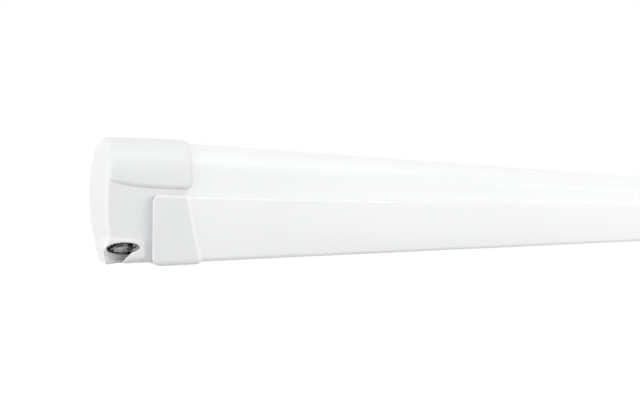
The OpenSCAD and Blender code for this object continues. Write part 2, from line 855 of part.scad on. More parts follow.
module front_rail() {
    y_box = y_rail_front + rail_wall;
    z_box = z_rail_floor + rail_wall;
    color(paint_white) along_x(-x_rail_profile, x_rail_profile) difference() {
        rail_outline(0);
        leg_channel();
        // Hollow of the upper box, in front of and below the piping groove
        difference() {
            polygon([[y_box, z_box], [y_rail_back - rail_wall, z_box],
                [y_rail_back - rail_wall, z_rail_deck - rail_wall],
                [y_box, z_rail_deck - rail_wall]]);
            translate([y_groove, z_groove]) circle(groove_r + groove_wall);
            translate([y_groove, z_groove - groove_slot / 2 - groove_wall])
                square([20, 20]);
        }
        translate([y_groove, z_groove]) {
            circle(groove_r);
            rotate(pitch) translate([0, -groove_slot / 2]) square([20, groove_slot]);
        }
    }
}

// Moulded cap over the end of the rail, its inner edge slanting down towards the middle
module rail_cap(side) {
    cap_back = y_rail_back - 0.3;
    color(plastic_white) on_side(side) difference() {
        intersection() {
            along_x(-x_rail, -x_rail + rail_cap_bottom + 10) rail_outline(rail_cap_proud);
            translate([0, cap_back, 0]) rotate([90, 0, 0]) linear_extrude(case_height) cap_side();
        }
        along_x(-x_rail + rail_end_wall, -x_rail + 2 * rail_cap_bottom) rail_outline(seat_fit);
        // The rail's leg channel and rear stay open past the end wall
        along_x(-x_rail + rail_end_wall, -x_rail + 2 * rail_cap_bottom) {
            leg_channel();
            translate([y_rail_front + nose_depth - eps, z_rail_deck]) square([100, 20]);
        }
        translate([-x_rail - eps, y_rail_front + rail_proud - 4, z_rail_deck])
            cube([rail_cap_bottom + 20, 100, 20]);
    }
}

// Front outline of the rail cap, with round outer corners
module cap_side() {
    r_top = 4;
    r_low = 8;
    z0 = z_low - rail_cap_proud;
    z1 = z_rail_top + rail_cap_proud;
    polygon(concat(
        [[-x_rail + rail_cap_top, z1]],
        arc(-x_rail + r_top, z1 - r_top, r_top, 90, 180, 6),
        arc(-x_rail + r_low, z0 + r_low, r_low, 180, 270, 6),
        [[-x_rail + rail_cap_bottom, z0]]));
}

module wrist_bracket(side) {
    ear_top = knuckle_h / 2 + layer_gap + ear_t;
    z_plate_low = z_wrist - ear_top - 2;
    color(cast_grey) difference() {
        union() {
            arm_frame(side) translate([0, -arm_pitch, 0]) eye_ears(-40);
            on_side(side) translate([-x_shoulder - knuckle_r - 6, y_rail_back, z_plate_low])
                cube([2 * knuckle_r + 12, wrist_plate, z_rail_deck - 14 - z_plate_low]);
        }
        on_side(side) translate([-x_shoulder - case_height / 2, y_rail_back - case_height, -case_height])
            cube([case_height, case_height, 2 * case_height]);
    }
}

module wrist_pins() {
    ear_top = knuckle_h / 2 + layer_gap + ear_t;
    color(steel) for (side = [-1, 1]) forearm_frame(side) translate([0, 0, -ear_top - 2]) {
        cylinder(r = arm_pin_r, h = 2 * ear_top + 3);
        cylinder(r = arm_pin_r + 2, h = 2);
    }
}

// Piping sewn to the fabric's front edge
module front_piping() {
    color(cloth_grey) translate([-x_fabric, y_groove, z_groove]) rotate([0, 90, 0])
        cylinder(r = piping_r, h = 2 * x_fabric);
}

// Fabric between the roll and the rail, at the slope it has when the roll is full
module fabric_lead() {
    run = norm([y_roller - y_groove, z_roller - z_groove]);
    slope = atan2(z_roller - z_groove, y_roller - y_groove) - asin((roll_r + fabric_t) / run);
    reach = sqrt(run * run - roll_r * roll_r);
    fold = piping_r + slide_fit;
    color(cloth_grey) along_x(-x_fabric, x_fabric) translate([y_groove, z_groove]) rotate(slope)
        translate([fold, -fabric_t / 2]) square([reach - fold, fabric_t]);
}

// LEGS

leg_pin_r = leg_pin_d / 2;
hinge_tongue = leg_w - 6.6;
hinge_cheek = 3;
hinge_r = leg_h / 2 - 1;
leg_start = hinge_r + 6;
leg_pivot_inset = 26;
x_leg_pivot = x_rail_profile - leg_pivot_inset;
collar_len = 34;
extension_clear = 30;
extension_len = leg_tube - 50;

// Frame of a stored leg: the pivot is the origin and the leg points along X; the left leg is the front one
module leg_frame(side) {
    on_side(side) translate([-x_leg_pivot, side < 0 ? y_front_leg : y_rear_leg, z_leg]) children();
}

// Runs a flat section, drawn as width and height, along the leg from x0 to x1
module along_leg(x0, x1) {
    translate([x0, 0, 0]) rotate([90, 0, 90]) linear_extrude(x1 - x0) children();
}

module leg_brackets() {
    top = z_rail_floor - z_leg;
    color(cast_grey) for (side = [-1, 1]) leg_frame(side) {
        translate([-hinge_r, -leg_w / 2, top - 3]) cube([2 * hinge_r, leg_w, 3]);
        for (s = [-1, 1]) difference() {
            translate([0, s * (leg_w - hinge_cheek) / 2, 0]) rotate([90, 0, 0])
                linear_extrude(hinge_cheek, center = true) {
                    circle(hinge_r);
                    translate([-hinge_r, 0]) square([2 * hinge_r, top - 1]);
                }
            rotate([90, 0, 0]) cylinder(r = leg_pin_r + seat_fit, h = 2 * leg_w, center = true);
        }
    }
}

module leg_pins() {
    color(steel) for (side = [-1, 1]) leg_frame(side)
        rotate([90, 0, 0]) cylinder(r = leg_pin_r, h = leg_w, center = true);
}

module leg_hinge(side) {
    color(plastic_white) leg_frame(side) {
        difference() {
            union() {
                rotate([90, 0, 0]) cylinder(r = hinge_r - 1, h = hinge_tongue, center = true);
                translate([0, -hinge_tongue / 2, -hinge_r + 1])
                    cube([leg_start, hinge_tongue, 2 * hinge_r - 2]);
            }
            rotate([90, 0, 0]) cylinder(r = leg_pin_r + run_fit, h = 2 * leg_w, center = true);
        }
        along_leg(leg_start - eps, leg_start + 45)
            round_rect(leg_w - 2 * leg_wall - 2 * seat_fit, leg_h - 2 * leg_wall - 2 * seat_fit, 4.5);
    }
}

module leg_tube_profile(side) {
    color(alu) leg_frame(side) along_leg(leg_start, leg_start + leg_tube)
        hollow_section(leg_w, leg_h, 5, leg_wall);
}

ext_w = leg_w - 2 * leg_wall - 2 * slide_fit;
ext_h = leg_h - 2 * leg_wall - 2 * slide_fit;
lever_pivot = 12;
lever_drop = 3.5;
lever_len = 58;
lever_t = 5;

// Clamp collar on the end of the leg tube, with ears for its lever below
module leg_collar(side) {
    x0 = leg_start + leg_tube;
    color(black_rubber) leg_frame(side) difference() {
        union() {
            along_leg(x0, x0 + collar_len) round_rect(leg_w, leg_h, 5);
            for (s = [-1, 1]) translate([x0 + lever_pivot, s * (leg_w / 2 - 1.5), -leg_h / 2 - lever_drop])
                rotate([90, 0, 0]) linear_extrude(3, center = true) {
                    circle(3.5);
                    translate([-3.5, 0]) square([7, 7]);
                }
        }
        along_leg(x0 - eps, x0 + collar_len + eps)
            round_rect(ext_w + 2 * slide_fit, ext_h + 2 * slide_fit, 4.4);
        translate([x0 + lever_pivot, 0, -leg_h / 2 - lever_drop]) rotate([90, 0, 0])
            cylinder(r = 1.5 + run_fit, h = 2 * leg_w, center = true);
    }
}

// Cam lever of the collar, lying under the leg tube
module leg_lever(side) {
    x0 = leg_start + leg_tube + lever_pivot;
    lever_w = leg_w - 6.6;
    color(black_rubber) leg_frame(side) translate([x0, 0, -leg_h / 2 - lever_drop]) {
        rotate([90, 0, 0]) {
            cylinder(r = 1.5, h = leg_w, center = true);
            cylinder(r = lever_t / 2, h = lever_w, center = true);
        }
        translate([-lever_len, 0, 0]) rotate([90, 0, 0]) linear_extrude(lever_w, center = true) {
            translate([0, -lever_t / 2]) square([lever_len, lever_t]);
            circle(lever_t / 2);
        }
    }
}

foot_pin_r = 2.5;
foot_back = 4;
sole_at = 12.8;
sole_t = 4;
sole_h = 19;

module leg_extension(side) {
    x1 = leg_start + leg_tube + collar_len + extension_clear;
    color(alu) leg_frame(side) difference() {
        along_leg(x1 - extension_len, x1) hollow_section(ext_w, ext_h, 4.2, leg_wall);
        translate([x1 - foot_back, 0, 0]) rotate([90, 0, 0])
            cylinder(r = foot_pin_r + run_fit, h = 2 * leg_w, center = true);
    }
}

// Shoe on the end of the leg: two cheeks on a pivot and a flat sole
module foot(side) {
    x1 = leg_start + leg_tube + collar_len + extension_clear - foot_back;
    cheek = (leg_w - ext_w) / 2 - layer_gap;
    color(black_rubber) leg_frame(side) translate([x1, 0, 0]) {
        rotate([90, 0, 0]) cylinder(r = foot_pin_r, h = leg_w, center = true);
        for (s = [-1, 1]) translate([0, s * (leg_w - cheek) / 2, 0]) rotate([90, 0, 0])
            linear_extrude(cheek, center = true) {
                circle(7);
                translate([0, -7]) square([sole_at + 1, 14]);
            }
        translate([sole_at, -leg_w / 2, -sole_h / 2]) cube([sole_t, leg_w, sole_h]);
    }
}

case_profile();
end_plate(-1);  // left_end_plate
end_plate(1);  // right_end_plate
end_cap(-1);  // left_end_cap
end_cap(1);  // right_end_cap
roller_bushes();
gearbox_housing();
wall_brackets();
shoulder_bracket(-1);  // left_shoulder_bracket
shoulder_bracket(1);  // right_shoulder_bracket
shoulder_pins();
cassette_seal();
end_plate_screws();
bracket_screws();
worm_shaft();
winch_socket();
roller_tube();
fabric_roll();
roller_plug(-1, x_gear - x_tube + wheel_w / 2 + 1.5);  // left_roller_plug
roller_plug(1, x_case + plate_t - x_tube);  // right_roller_plug
worm_wheel();
upper_arm(-1);  // left_upper_arm
shoulder_knuckle(-1);  // left_shoulder_knuckle
elbow_fork(-1);  // left_elbow_fork
elbow_pin(-1);  // left_elbow_pin
arm_spring(-1);  // left_arm_spring
forearm(-1);  // left_forearm
elbow_knuckle(-1);  // left_elbow_knuckle
wrist_knuckle(-1);  // left_wrist_knuckle
upper_arm(1);  // right_upper_arm
shoulder_knuckle(1);  // right_shoulder_knuckle
elbow_fork(1);  // right_elbow_fork
elbow_pin(1);  // right_elbow_pin
arm_spring(1);  // right_arm_spring
forearm(1);  // right_forearm
elbow_knuckle(1);  // right_elbow_knuckle
wrist_knuckle(1);  // right_wrist_knuckle
front_rail();
rail_cap(-1);  // left_rail_cap
rail_cap(1);  // right_rail_cap
wrist_bracket(-1);  // left_wrist_bracket
wrist_bracket(1);  // right_wrist_bracket
wrist_pins();
leg_brackets();
leg_pins();
front_piping();
leg_tube_profile(-1);  // left_leg_tube
leg_hinge(-1);  // left_leg_hinge
leg_collar(-1);  // left_leg_collar
leg_lever(-1);  // left_leg_lever
leg_extension(-1);  // left_leg_extension
foot(-1);  // left_foot
leg_tube_profile(1);  // right_leg_tube
leg_hinge(1);  // right_leg_hinge
leg_collar(1);  // right_leg_collar
leg_lever(1);  // right_leg_lever
leg_extension(1);  // right_leg_extension
foot(1);  // right_foot
fabric_lead();
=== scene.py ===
import math

import bmesh
import bpy
import numpy as np
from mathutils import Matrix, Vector
from mathutils.geometry import tessellate_polygon


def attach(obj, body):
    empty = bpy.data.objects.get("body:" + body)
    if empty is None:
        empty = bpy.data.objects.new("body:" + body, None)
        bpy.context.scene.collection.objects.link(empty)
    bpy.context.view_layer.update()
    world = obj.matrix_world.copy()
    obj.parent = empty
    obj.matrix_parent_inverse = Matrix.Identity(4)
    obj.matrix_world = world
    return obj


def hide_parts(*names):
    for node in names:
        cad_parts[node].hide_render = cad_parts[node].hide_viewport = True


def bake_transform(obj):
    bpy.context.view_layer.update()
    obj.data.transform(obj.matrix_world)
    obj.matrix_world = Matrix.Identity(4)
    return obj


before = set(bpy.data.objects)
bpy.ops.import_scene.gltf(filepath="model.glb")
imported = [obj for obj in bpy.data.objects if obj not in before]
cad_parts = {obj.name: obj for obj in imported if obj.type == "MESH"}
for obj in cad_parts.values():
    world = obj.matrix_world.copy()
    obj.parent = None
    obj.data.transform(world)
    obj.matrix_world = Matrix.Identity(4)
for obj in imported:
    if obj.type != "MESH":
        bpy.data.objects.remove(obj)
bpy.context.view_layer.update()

# CAMERA
# The awning's left end as a person sees it from beside the van: close to the winch end,
# level with the case and turned towards its far end. Places are in metres.
scene = bpy.context.scene
scene.view_settings.view_transform = "Standard"
eye = bpy.data.cameras.new("eye")
eye.sensor_width = 36.0
eye.lens = 27.963
eye.clip_start, eye.clip_end = 0.05, 60.0
camera = bpy.data.objects.new("camera", eye)
camera.location = (-1.36792, -0.71089, -0.01946)
camera.rotation_euler = (math.radians(91.876), 0, math.radians(-30.524))
scene.collection.objects.link(camera)
scene.camera = camera

# CASSETTE
# The long case is one aluminium extrusion: a domed top, a soft crease and an upright face,
# open in front for the lead rail. It is powder coated satin white and hangs by a hook on its back.
MM = 0.001
CASE_END = 1246.0
BACK_Y, FACE_Y = -6.0, -107.55
DOME_Y, DOME_Z, DOME_R = -40.0, -0.447, 78.947
LIP_Z = 2.75
FACE_LEAN = 0.0255
CREASE_R = 5.0
FLOOR_Z, FLOOR_FRONT = -72.0, -77.55
CASE_WALL = 2.2
SCREW_PORTS = ((-13.2, -63.8), (-14.2, 62.5), (-98.55, 35.97))
PORT_R, PORT_BORE = 4.0, 2.0
CASE_EDGE = 1.5
STIFFENER_TOP = -66.8
HOOK_ROOT, HOOK_TIP, HOOK_LOW, HOOK_TOP = -6.5, -1.5, 40.0, 43.0
TONGUE_FRONT, TONGUE_LOW, TONGUE_TOP = -3.5, 32.0, 42.5
CASE_ROOM, CASE_STEP = ((-112, -78), (2, 82)), 0.4
SHARP_BEND = 35


def both(a, b, r):
    """Inside both fields, their shared edge rounded by r."""
    u, v = a + r, b + r
    return np.hypot(np.maximum(u, 0), np.maximum(v, 0)) - r + np.minimum(np.maximum(u, v), 0)


def either(a, b, r):
    """Inside one field or the other, the corner between them filled by r."""
    return -both(-a, -b, r)


def span(v, low, high):
    """Inside between two limits."""
    return np.maximum(low - v, v - high)


def end_view(y, z, floor, low_r):
    """The awning's section across its length: dome, face, back and floor."""
    dome = np.hypot(y - DOME_Y, np.maximum(z - DOME_Z, 0)) - DOME_R
    face = FACE_Y + np.maximum(z - LIP_Z, 0) * FACE_LEAN - y
    shape = both(dome, face, CREASE_R)
    shape = both(shape, y - BACK_Y, CASE_EDGE)
    return both(shape, floor - z, low_r)


def mouth(y, z, grow):
    """The room in front of the floor and under the lip, where the lead rail sits."""
    return np.maximum(y - FLOOR_FRONT, z - LIP_Z + grow)


def case_section(y, z):
    """The case's wall, its stiffened front edge, the hook on its back and the screw ports."""
    outer = end_view(y, z, FLOOR_Z, CASE_EDGE)
    wall = both(outer, -(outer + CASE_WALL), 0.05)
    wall = both(wall, -mouth(y, z, 0), 0.9)
    stiffener = span(y, FLOOR_FRONT, FLOOR_FRONT + CASE_WALL)
    stiffener = both(stiffener, span(z, FLOOR_Z, STIFFENER_TOP), 0.8)
    wall = either(wall, stiffener, 1.0)
    hook = both(span(y, HOOK_ROOT, HOOK_TIP), span(z, HOOK_LOW, HOOK_TOP), 0.6)
    tongue = both(span(y, TONGUE_FRONT, HOOK_TIP), span(z, TONGUE_LOW, TONGUE_TOP), 0.8)
    wall = either(wall, either(hook, tongue, 0.4), 0.8)
    for port_y, port_z in SCREW_PORTS:
        port = np.hypot(y - port_y, z - port_z) - PORT_R
        wall = either(wall, np.maximum(port, outer), 3.0)
        wall = np.maximum(wall, PORT_BORE - np.hypot(y - port_y, z - port_z))
    return wall


def settle(points, normals, cells, count, step, pull=0.04, reach=0.9):
    """The point of each cell that lies best on all the tangent planes that cross it.

    Pull draws it towards the middle of the crossings, and reach, in steps, limits its move."""
    dim = points.shape[1]
    total = np.bincount(cells, minlength=count)
    mean = np.stack([np.bincount(cells, points[:, i], count) for i in range(dim)], 1) / total[:, None]
    off = np.einsum("ij,ij->i", normals, points - mean[cells])
    lhs = np.empty((count, dim, dim))
    rhs = np.empty((count, dim, 1))
    for i in range(dim):
        rhs[:, i, 0] = np.bincount(cells, normals[:, i] * off, count)
        for j in range(dim):
            lhs[:, i, j] = np.bincount(cells, normals[:, i] * normals[:, j], count)
    lhs += pull * np.eye(dim)
    move = np.linalg.solve(lhs, rhs)[:, :, 0]
    return mean + np.clip(move, -reach * step, reach * step)


def slope(field, points, reach=0.02):
    """Direction in which a field grows fastest at each point."""
    grads = np.empty_like(points)
    for i in range(points.shape[1]):
        nudge = np.zeros(points.shape[1])
        nudge[i] = reach
        grads[:, i] = field(*(points + nudge).T) - field(*(points - nudge).T)
    return grads / np.maximum(np.linalg.norm(grads, axis=1, keepdims=True), 1e-9)


def crossings(field, axes, grid, axis, step, halvings=9):
    """Where a field turns from inside to outside along one axis of its grid."""
    inside = grid < 0
    n = grid.shape[axis]
    near = np.take(inside, range(n - 1), axis)
    far = np.take(inside, range(1, n), axis)
    at = np.argwhere(near != far)
    start = np.stack([axes[i][at[:, i]] for i in range(len(axes))], 1)
    low = np.zeros(len(at))
    high = np.full(len(at), step)
    leaving = near[tuple(at.T)]
    for _ in range(halvings):
        mid = (low + high) / 2
        place = start.copy()
        place[:, axis] += mid
        same = (field(*place.T) < 0) == leaving
        low = np.where(same, mid, low)
        high = np.where(same, high, mid)
    place = start.copy()
    place[:, axis] += (low + high) / 2
    return at, place, leaving


def outline(field, low, high, step):
    """Closed loops where a flat field is zero."""
    axes = [np.arange(a, b + step, step) for a, b in zip(low, high)]
    grid = field(*np.meshgrid(*axes, indexing="ij"))
    width = grid.shape[1]
    points, cells, links = [], [], []
    for axis in (0, 1):
        at, place, leaving = crossings(field, axes, grid, axis, step)
        beside = at.copy()
        beside[:, 1 - axis] -= 1
        one = at[:, 0] * width + at[:, 1]
        two = beside[:, 0] * width + beside[:, 1]
        turn = leaving if axis == 0 else ~leaving
        pairs = zip(two.tolist(), one.tolist(), turn.tolist())
        links += [(a, b) if ahead else (b, a) for a, b, ahead in pairs]
        points += [place, place]
        cells += [one, two]
    points, cells = np.concatenate(points), np.concatenate(cells)
    names, index = np.unique(cells, return_inverse=True)
    spots = settle(points, slope(field, points), index, len(names), step)
    at_cell = dict(zip(names.tolist(), spots))
    follow = dict(links)
    loops = []
    while follow:
        first = next(iter(follow))
        loop, here = [], first
        while here in follow:
            loop.append(at_cell[here])
            here = follow.pop(here)
        loops.append(thin_out(np.array(loop)))
    return [loop for loop in loops if len(loop) > 2]


def thin_out(loop, slack=0.008):
    """Drops the points of a loop that lie on the line between their neighbours."""
    kept, a = [0], 0
    for b in range(2, len(loop) + 1):
        end = loop[b % len(loop)]
        line = end - loop[a]
        size = max(np.hypot(*line), 1e-9)
        between = loop[a + 1:b] - loop[a]
        if np.abs(between[:, 0] * line[1] - between[:, 1] * line[0]).max() / size > slack:
            a = b - 1
            kept.append(a)
    return loop[kept]


def add_piece(name, material, points, faces, normals=None, bend=SHARP_BEND):
    """A finished piece from points in millimetres, faces turned outwards."""
    mesh = bpy.data.meshes.new(name)
    mesh.from_pydata((np.asarray(points) * MM).tolist(), [], faces)
    shape = bmesh.new()
    shape.from_mesh(mesh)
    bmesh.ops.recalc_face_normals(shape, faces=shape.faces)
    shape.to_mesh(mesh)
    shape.free()
    mesh.shade_smooth()
    if normals is None:
        mesh.set_sharp_from_angle(angle=math.radians(bend))
    else:
        mesh.normals_split_custom_set_from_vertices(normals.tolist())
    mesh.materials.append(material)
    piece = bpy.data.objects.new(name, mesh)
    scene.collection.objects.link(piece)
    return piece


def drawn_through(name, material, loops, x0, x1):
    """An extrusion: closed loops of depth and height run along X, closed at both ends."""
    flat = np.concatenate(loops)
    total = len(flat)
    points = np.concatenate([np.column_stack([np.full(total, x), flat]) for x in (x0, x1)])
    faces, base = [], 0
    for loop in loops:
        n = len(loop)
        for i in range(n):
            a, b = base + i, base + (i + 1) % n
            faces.append((a, b, b + total, a + total))
        base += n
    cut = tessellate_polygon([[Vector((y, z, 0)) for y, z in loop] for loop in loops])
    faces += [tuple(t) for t in cut] + [tuple(i + total for i in reversed(t)) for t in cut]
    return add_piece(name, material, points, faces)


def put(tree, kind, **values):
    """A node of a tree, its settings and unlinked inputs set by name."""
    node = tree.nodes.new(kind)
    for key, value in values.items():
        if key in node.inputs:
            node.inputs[key].default_value = value
        else:
            setattr(node, key, value)
    return node


def effect(name, inputs, outputs):
    """An empty shader node group with its named sockets."""
    tree = bpy.data.node_groups.new(name, "ShaderNodeTree")
    for key, value in inputs.items():
        socket = tree.interface.new_socket(key, in_out="INPUT", socket_type="NodeSocketFloat")
        socket.default_value = value
    for key in outputs:
        tree.interface.new_socket(key, in_out="OUTPUT", socket_type="NodeSocketFloat")
    return tree, tree.nodes.new("NodeGroupInput"), tree.nodes.new("NodeGroupOutput")


def per(tree, size):
    """One divided by a size: the scale of a texture."""
    share = put(tree, "ShaderNodeMath", operation="DIVIDE")
    share.inputs[0].default_value = 1.0
    tree.links.new(size, share.inputs[1])
    return share.outputs[0]


def finish(name, **values):
    """A material with its shader, the shader's constant values set on its own sockets."""
    material = bpy.data.materials.new(name)
    material.use_nodes = True
    tree = material.node_tree
    shader = tree.nodes["Principled BSDF"]
    for key, value in values.items():
        shader.inputs[key.replace("_", " ")].default_value = value
    return material, tree, shader


def surface(name, group, sizes, wear, shades, rough, bump, **values):
    """A material with fine relief from an effect's first output and shades mixed by its second.

    Roughness runs between the values of rough with the output named wear. Bump holds the relief's
    strength and depth."""
    material, tree, shader = finish(name, **values)
    effect_node = put(tree, "ShaderNodeGroup", node_tree=group, **sizes)
    mix = put(tree, "ShaderNodeMix", data_type="RGBA")
    mix.inputs[6].default_value = (*shades[0], 1)
    mix.inputs[7].default_value = (*shades[1], 1)
    spread = put(tree, "ShaderNodeMapRange", **{"To Min": rough[0], "To Max": rough[1]})
    relief = put(tree, "ShaderNodeBump", Strength=bump[0], Distance=bump[1])
    tree.links.new(effect_node.outputs[1], mix.inputs[0])
    tree.links.new(mix.outputs[2], shader.inputs["Base Color"])
    tree.links.new(effect_node.outputs[wear], spread.inputs["Value"])
    tree.links.new(spread.outputs["Result"], shader.inputs["Roughness"])
    tree.links.new(effect_node.outputs[0], relief.inputs["Height"])
    tree.links.new(relief.outputs["Normal"], shader.inputs["Normal"])
    return material


coat_skin, given, made = effect(
    "coat_skin", {"Ripple size": 0.004, "Cloud size": 0.25}, ("Ripple", "Cloud"))
where = put(coat_skin, "ShaderNodeTexCoord")
for key, detail in (("Ripple", 2.0), ("Cloud", 3.0)):
    noise = put(coat_skin, "ShaderNodeTexNoise", Detail=detail, Roughness=0.5)
    coat_skin.links.new(where.outputs["Object"], noise.inputs["Vector"])
    coat_skin.links.new(per(coat_skin, given.outputs[key + " size"]), noise.inputs["Scale"])
    coat_skin.links.new(noise.outputs["Fac"], made.inputs[key])

white_coat = surface(
    "white_powder_coat", coat_skin, {"Ripple size": 0.0028, "Cloud size": 0.3}, "Cloud",
    ((0.88, 0.886, 0.89), (0.862, 0.869, 0.874)), (0.3, 0.44), (0.06, 0.0004),
    Specular_IOR_Level=0.5, Coat_Weight=0.25, Coat_Roughness=0.12)

case_loops = outline(case_section, *CASE_ROOM, CASE_STEP)
case = drawn_through("cassette_profile", white_coat, case_loops, -CASE_END, CASE_END)
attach(case, "cassette")
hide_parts("case_profile")

# WALL BRACKETS
# Three short aluminium extrusions screwed to the van's wall. The case hangs on their tongues
# and is clamped from below by two flanged hex screws in each.
drawn_lines, given, made = effect("drawn_lines", {"Line width": 0.0006, "Run": 0.3}, ("Lines", "Blotch"))
link = drawn_lines.links.new
where = put(drawn_lines, "ShaderNodeTexCoord")
squeeze = put(drawn_lines, "ShaderNodeCombineXYZ")
for socket, axis in (("Run", "X"), ("Line width", "Y"), ("Line width", "Z")):
    link(per(drawn_lines, given.outputs[socket]), squeeze.inputs[axis])
stretch = put(drawn_lines, "ShaderNodeVectorMath", operation="MULTIPLY")
link(where.outputs["Object"], stretch.inputs[0])
link(squeeze.outputs[0], stretch.inputs[1])
streaks = put(drawn_lines, "ShaderNodeTexNoise", Scale=1.0, Detail=3.0)
blotches = put(drawn_lines, "ShaderNodeTexNoise", Scale=18.0, Detail=4.0)
link(stretch.outputs[0], streaks.inputs["Vector"])
link(where.outputs["Object"], blotches.inputs["Vector"])
link(streaks.outputs["Fac"], made.inputs["Lines"])
link(blotches.outputs["Fac"], made.inputs["Blotch"])

anodised = surface(
    "anodised_aluminium", drawn_lines, {"Line width": 0.0007, "Run": 0.4}, "Lines",
    ((0.80, 0.805, 0.81), (0.68, 0.69, 0.70)), (0.28, 0.46), (0.12, 0.0003),
    Metallic=1.0, Specular_IOR_Level=0.5)
plated = surface(
    "plated_steel", drawn_lines, {"Line width": 0.0004, "Run": 0.004}, "Lines",
    ((0.66, 0.655, 0.63), (0.50, 0.50, 0.49)), (0.22, 0.42), (0.15, 0.0002),
    Metallic=1.0, Specular_IOR_Level=0.5)

WELD_REACH = 0.02
EASED_FROM = 50


def keep(material, width, *names):
    """CAD nodes that stay, their edges eased by width and their finish set."""
    for name in names:
        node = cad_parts[name]
        node.data.materials.clear()
        node.data.materials.append(material)
        if width:
            weld = node.modifiers.new("weld", "WELD")
            weld.merge_threshold = WELD_REACH * MM
            ease = node.modifiers.new("ease", "BEVEL")
            ease.width = width * MM
            ease.segments = 2
            ease.limit_method = "ANGLE"
            ease.angle_limit = math.radians(EASED_FROM)
            node.modifiers.new("smooth", "WEIGHTED_NORMAL")


keep(anodised, 0, "wall_brackets")

screw_set = bpy.data.node_groups.new("flanged_screws", "GeometryNodeTree")
screw_set.interface.new_socket("Seats", in_out="INPUT", socket_type="NodeSocketGeometry")
screw_inputs = {}
for key in ("Flange radius", "Flange height", "Hex radius", "Hex height", "Shank radius", "Shank length"):
    socket = screw_set.interface.new_socket(key, in_out="INPUT", socket_type="NodeSocketFloat")
    screw_inputs[key] = socket.identifier
for key, kind in (("Turn", "NodeSocketRotation"), ("Finish", "NodeSocketMaterial")):
    screw_inputs[key] = screw_set.interface.new_socket(key, in_out="INPUT", socket_type=kind).identifier
screw_set.interface.new_socket("Screws", in_out="OUTPUT", socket_type="NodeSocketGeometry")
given, made = screw_set.nodes.new("NodeGroupInput"), screw_set.nodes.new("NodeGroupOutput")
whole = put(screw_set, "GeometryNodeJoinGeometry")


def screw_part(corners, radius, height, start, sense):
    """A drum of the screw on its axis, from start onwards in the given sense."""
    drum = put(screw_set, "GeometryNodeMeshCylinder", Vertices=corners)
    half = put(screw_set, "ShaderNodeMath", operation="MULTIPLY_ADD")
    half.inputs[1].default_value = 0.5 * sense
    half.inputs[2].default_value = 0.0
    lift = put(screw_set, "ShaderNodeCombineXYZ")
    move = put(screw_set, "GeometryNodeTransform")
    link = screw_set.links.new
    link(given.outputs[radius], drum.inputs["Radius"])
    link(given.outputs[height], drum.inputs["Depth"])
    link(given.outputs[height], half.inputs[0])
    if start:
        back = put(screw_set, "ShaderNodeMath", operation="MULTIPLY")
        back.inputs[1].default_value = sense
        link(given.outputs[start], back.inputs[0])
        link(back.outputs[0], half.inputs[2])
    link(half.outputs[0], lift.inputs["Z"])
    link(drum.outputs["Mesh"], move.inputs["Geometry"])
    link(lift.outputs[0], move.inputs["Translation"])
    link(move.outputs[0], whole.inputs[0])


screw_part(24, "Flange radius", "Flange height", None, -1)
screw_part(6, "Hex radius", "Hex height", "Flange height", -1)
screw_part(16, "Shank radius", "Shank length", None, 1)
link = screw_set.links.new
dot = put(screw_set, "GeometryNodeInstanceOnPoints")
real = put(screw_set, "GeometryNodeRealizeInstances")
coat = put(screw_set, "GeometryNodeSetMaterial")
link(given.outputs["Seats"], dot.inputs["Points"])
link(whole.outputs[0], dot.inputs["Instance"])
link(given.outputs["Turn"], dot.inputs["Rotation"])
link(dot.outputs[0], real.inputs[0])
link(real.outputs[0], coat.inputs["Geometry"])
link(given.outputs["Finish"], coat.inputs["Material"])
link(coat.outputs[0], made.inputs[0])


def set_screws(name, seats, turn, **sizes):
    """Screws at their seats, points in millimetres, heads against the way they are driven."""
    points = bpy.data.meshes.new(name + "_seats")
    points.from_pydata([[v * MM for v in seat] for seat in seats], [], [])
    holder = bpy.data.objects.new(name + "_seats", points)
    scene.collection.objects.link(holder)
    driver = holder.modifiers.new("screws", "NODES")
    driver.node_group = screw_set
    for key, value in sizes.items():
        driver[screw_inputs[key.replace("_", " ")]] = value * MM
    driver[screw_inputs["Turn"]] = turn
    driver[screw_inputs["Finish"]] = plated
    now = bpy.context.evaluated_depsgraph_get()
    mesh = bpy.data.meshes.new_from_object(holder.evaluated_get(now))
    bpy.data.objects.remove(holder)
    mesh.set_sharp_from_angle(angle=math.radians(SHARP_BEND))
    piece = bpy.data.objects.new(name, mesh)
    scene.collection.objects.link(piece)
    return piece


BRACKETS_X, CLAMPS_X = (-1040, 0, 1040), (-35, 35)
CLAMP_Y, CLAMP_Z = -18.0, -75.5
clamp_seats = [(x + aside, CLAMP_Y, CLAMP_Z) for x in BRACKETS_X for aside in CLAMPS_X]
clamp_screw = dict(Flange_radius=5.5, Flange_height=0.9, Hex_radius=4.4, Hex_height=1.6,
                   Shank_radius=3.0, Shank_length=3.5)
clamp_screws = set_screws("clamp_screws", clamp_seats, (0, 0, 0), **clamp_screw)
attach(clamp_screws, "cassette")
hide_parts("bracket_screws")

# END PLATES
# Cast plates screwed into the three ports at each end of the case. They carry the roller's
# bushes, and the moulded caps hide them.
cast_grain, given, made = effect("cast_grain", {"Grain size": 0.0012}, ("Grain", "Stain"))
link = cast_grain.links.new
where = put(cast_grain, "ShaderNodeTexCoord")
grains = put(cast_grain, "ShaderNodeTexVoronoi", feature="SMOOTH_F1", Smoothness=0.6)
stains = put(cast_grain, "ShaderNodeTexNoise", Scale=30.0, Detail=5.0)
link(per(cast_grain, given.outputs["Grain size"]), grains.inputs["Scale"])
for texture in (grains, stains):
    link(where.outputs["Object"], texture.inputs["Vector"])
link(grains.outputs["Distance"], made.inputs["Grain"])
link(stains.outputs["Fac"], made.inputs["Stain"])

